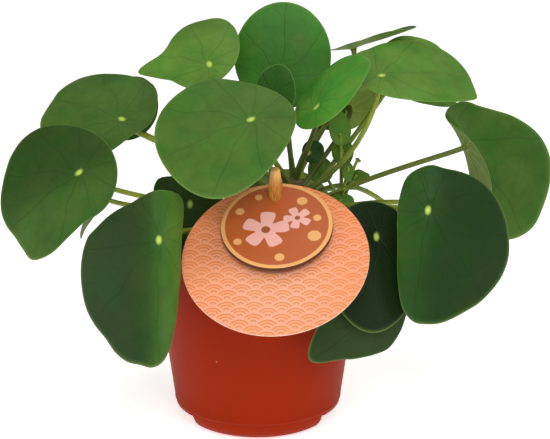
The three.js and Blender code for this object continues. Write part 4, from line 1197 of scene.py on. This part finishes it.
def peg_wood_material():
    material = new_material("turned_beech_peg")
    flat = add(material, "ShaderNodeUVMap", {"uv_map": "flat_mm"}, {})
    grain = add(material, "ShaderNodeMapping", {}, {"Vector": flat, "Scale": (60, 5, 1)})
    lines = add(material, NOISE, FLAT_NOISE, {"Vector": grain, "Scale": 3.0, "Detail": 4.0})
    streaks = add(material, RANGE, {}, {0: lines, 1: 0.35, 2: 0.65, 3: 0.0, 4: 1.0})
    wood = add(material, MIX, COLOURS, {0: streaks, 6: linear("#9a561a"), 7: linear("#cf8f38")})
    # the tapered end is paler
    height = add(material, "ShaderNodeSeparateXYZ", {}, {0: flat})
    end = add(material, RANGE, {}, {0: height.outputs["Y"], 1: PALE_FROM, 2: PALE_AT, 3: 0.0, 4: 0.75})
    colour = add(material, MIX, COLOURS, {0: end, 6: wood, 7: linear("#ebb869")})
    skin = add(material, BUMP, {}, {"Strength": 0.3, "Distance": 0.0003, "Height": lines})
    shader = add(material, PRINCIPLED, {}, {"Base Color": colour, "Roughness": 0.6, "Normal": skin})
    return finished(material, shader)


peg_wood = peg_wood_material()

# %% The peg
PEG_ZERO = np.array([9.9, -29.9, 136.7])  # a point of its axis, from which lengths on it are counted
PEG_FOOT, PEG_TOP, PEG_TIP = -62, 19.5, 19.55
PEG_RADIUS, PEG_ROUND = 3.7, 23  # the second is the way round it
PEG_LEAN = 26  # degrees off the vertical
PEG_COLUMNS = 40

peg_profile = rounded_profile([(0.5, PEG_FOOT, 0), (2.1, PEG_FOOT, 0.4), (PEG_RADIUS, -54, 1),
                               (PEG_RADIUS, 9, 1.2), (2.35, 18.9, 0.5), (1.3, PEG_TOP, 0)], 5)
peg_profile = np.concatenate([peg_profile[:-1], [(1.3, PEG_TOP), (0.4, PEG_TIP)]])
peg_turn = about_x(PEG_LEAN)
peg_rows = turned_rows(peg_profile, PEG_COLUMNS) @ peg_turn.T + PEG_ZERO
peg_points = round_points(peg_turn @ [0, 0, PEG_FOOT] + PEG_ZERO, peg_rows[:, ::-1],
                          peg_turn @ [0, 0, PEG_TIP] + PEG_ZERO)
peg_around = np.repeat(np.arange(PEG_COLUMNS)[::-1][None] / PEG_COLUMNS * PEG_ROUND, len(peg_profile), 0)
peg_flat = np.stack([peg_around, np.repeat(peg_profile[:, 1, None], PEG_COLUMNS, 1)], -1).reshape(-1, 2)
peg_flat = np.concatenate([[[0, PEG_FOOT]], peg_flat, [[0, PEG_TOP]]])
peg = new_piece("wooden_peg", peg_points, round_faces(len(peg_profile), PEG_COLUMNS), [peg_wood],
                flat=peg_flat)
stands_for(peg, "label_peg")
print("peg:", triangles(peg), "triangles")

# %% [markdown]
# ## Side shoot
#
# A money plant sends up young shoots beside its trunk. This one is a small tuft: thin stems from one
# stub, each with a small soft leaf. They use the same formulas as the large ones, and all of them
# go into one mesh because the solid is one body too.

# %% The side shoot's leaves
PUP_FOOT = np.array([46.0, 22, 88])
PUP_FORK = np.array([47.0, 21, 118])
PUP_LOOK = (0.85, 1, 0)  # light and olive, as young leaves are
PUP_DROOP = [8, 8, 8, 8]
PUP_THICKNESS = 0.6
PUP_COLUMNS = 36
PUP_SCALE = 2.5  # how many times smaller its spots and veins are than a large leaf's
STEM_RADIUS = 0.9
PUP_LEAVES = [
    dict(at=(46.5, 25, 156), tilt=70, faces=-75, tip=180, length=20, width=13, ahead=0.2),
    dict(at=(47.5, 26, 147), tilt=60, faces=-110, tip=20, length=15, width=13, ahead=0.1),
    dict(at=(56, 27, 132), tilt=20, faces=-90, tip=90, length=12, width=12, ahead=0.1),
    dict(at=(48, 3, 131), tilt=18, faces=100, tip=90, length=27, width=9, ahead=0),
    dict(at=(57, 34, 140), tilt=30, faces=40, tip=40, length=10, width=4, ahead=0.2),
    dict(at=(51, 21, 138), tilt=65, faces=-60, tip=-20, length=12, width=7, ahead=0.2),
    dict(at=(36, 37, 131), tilt=70, faces=-80, tip=190, length=16, width=15, ahead=0.1),
    dict(at=(46, 10, 122), tilt=55, faces=-70, tip=90, length=15, width=9, ahead=0.1),
]
print(len(PUP_LEAVES), "young leaves, the longest", max(leaf["length"] for leaf in PUP_LEAVES), "mm")


# %% The side shoot
def pup_arrays():
    """Blades, stems and the stub, each a closed surface, one after the other in one list."""
    points, flats, faces, chosen = [], [], [], []
    values = {key: [] for key in ("underside", "margin", "tone", "age", "along", "painted_shade")}

    def take(new_points, new_faces, material, flat=None, **numbers):
        """Adds one closed surface to the lists; what has no number of a name gets 0."""
        faces.extend([[i + sum(len(p) for p in points) for i in face] for face in new_faces])
        points.append(new_points)
        flats.append(np.zeros((len(new_points), 2)) if flat is None else flat)
        chosen.extend([material] * len(new_faces))
        for key in values:
            values[key].append(np.asarray(numbers.get(key, np.zeros(len(new_points)))))

    rise = (PUP_FORK - PUP_FOOT) / np.linalg.norm(PUP_FORK - PUP_FOOT)
    for leaf in PUP_LEAVES:
        young = dict(leaf, droop=PUP_DROOP)
        blade_points, flat, numbers, rows = blade_arrays(young, PUP_LOOK, PUP_COLUMNS, PUP_THICKNESS)
        take(blade_points, round_faces(rows, PUP_COLUMNS), 0, flat * PUP_SCALE, **numbers)
        start, to = PUP_FORK + (PUP_FOOT - PUP_FORK) * 0.1, np.array(leaf["at"], float)
        half = (PUP_FORK + to) / 2 + rise * 4
        handles = (start, start + (half - start) * 2 / 3, to + (half - to) * 2 / 3, to)
        stem_points, along, steps, sides = stalk_arrays(handles, lambda s: STEM_RADIUS + 0 * s, 14, 10)
        take(stem_points, round_faces(steps, sides), 1, along=along)
    handles = (PUP_FOOT, PUP_FOOT + rise * 10, PUP_FORK - rise * 10, PUP_FORK)
    stub_points, along, steps, sides = stalk_arrays(handles, lambda s: 3 - 1.2 * s, 16, 16)
    take(stub_points, round_faces(steps, sides), 1, along=0 * along)
    numbers = {key: np.concatenate(parts) for key, parts in values.items()}
    return np.concatenate(points), faces, chosen, np.concatenate(flats), numbers


pup_points, pup_faces, pup_chosen, pup_flat, pup_values = pup_arrays()
pup = new_piece("young_side_shoot", pup_points, pup_faces, [leaf_skin, stalk_skin], pup_values, pup_flat,
                pup_chosen)
stands_for(pup, "pup")
print("side shoot:", triangles(pup), "triangles")
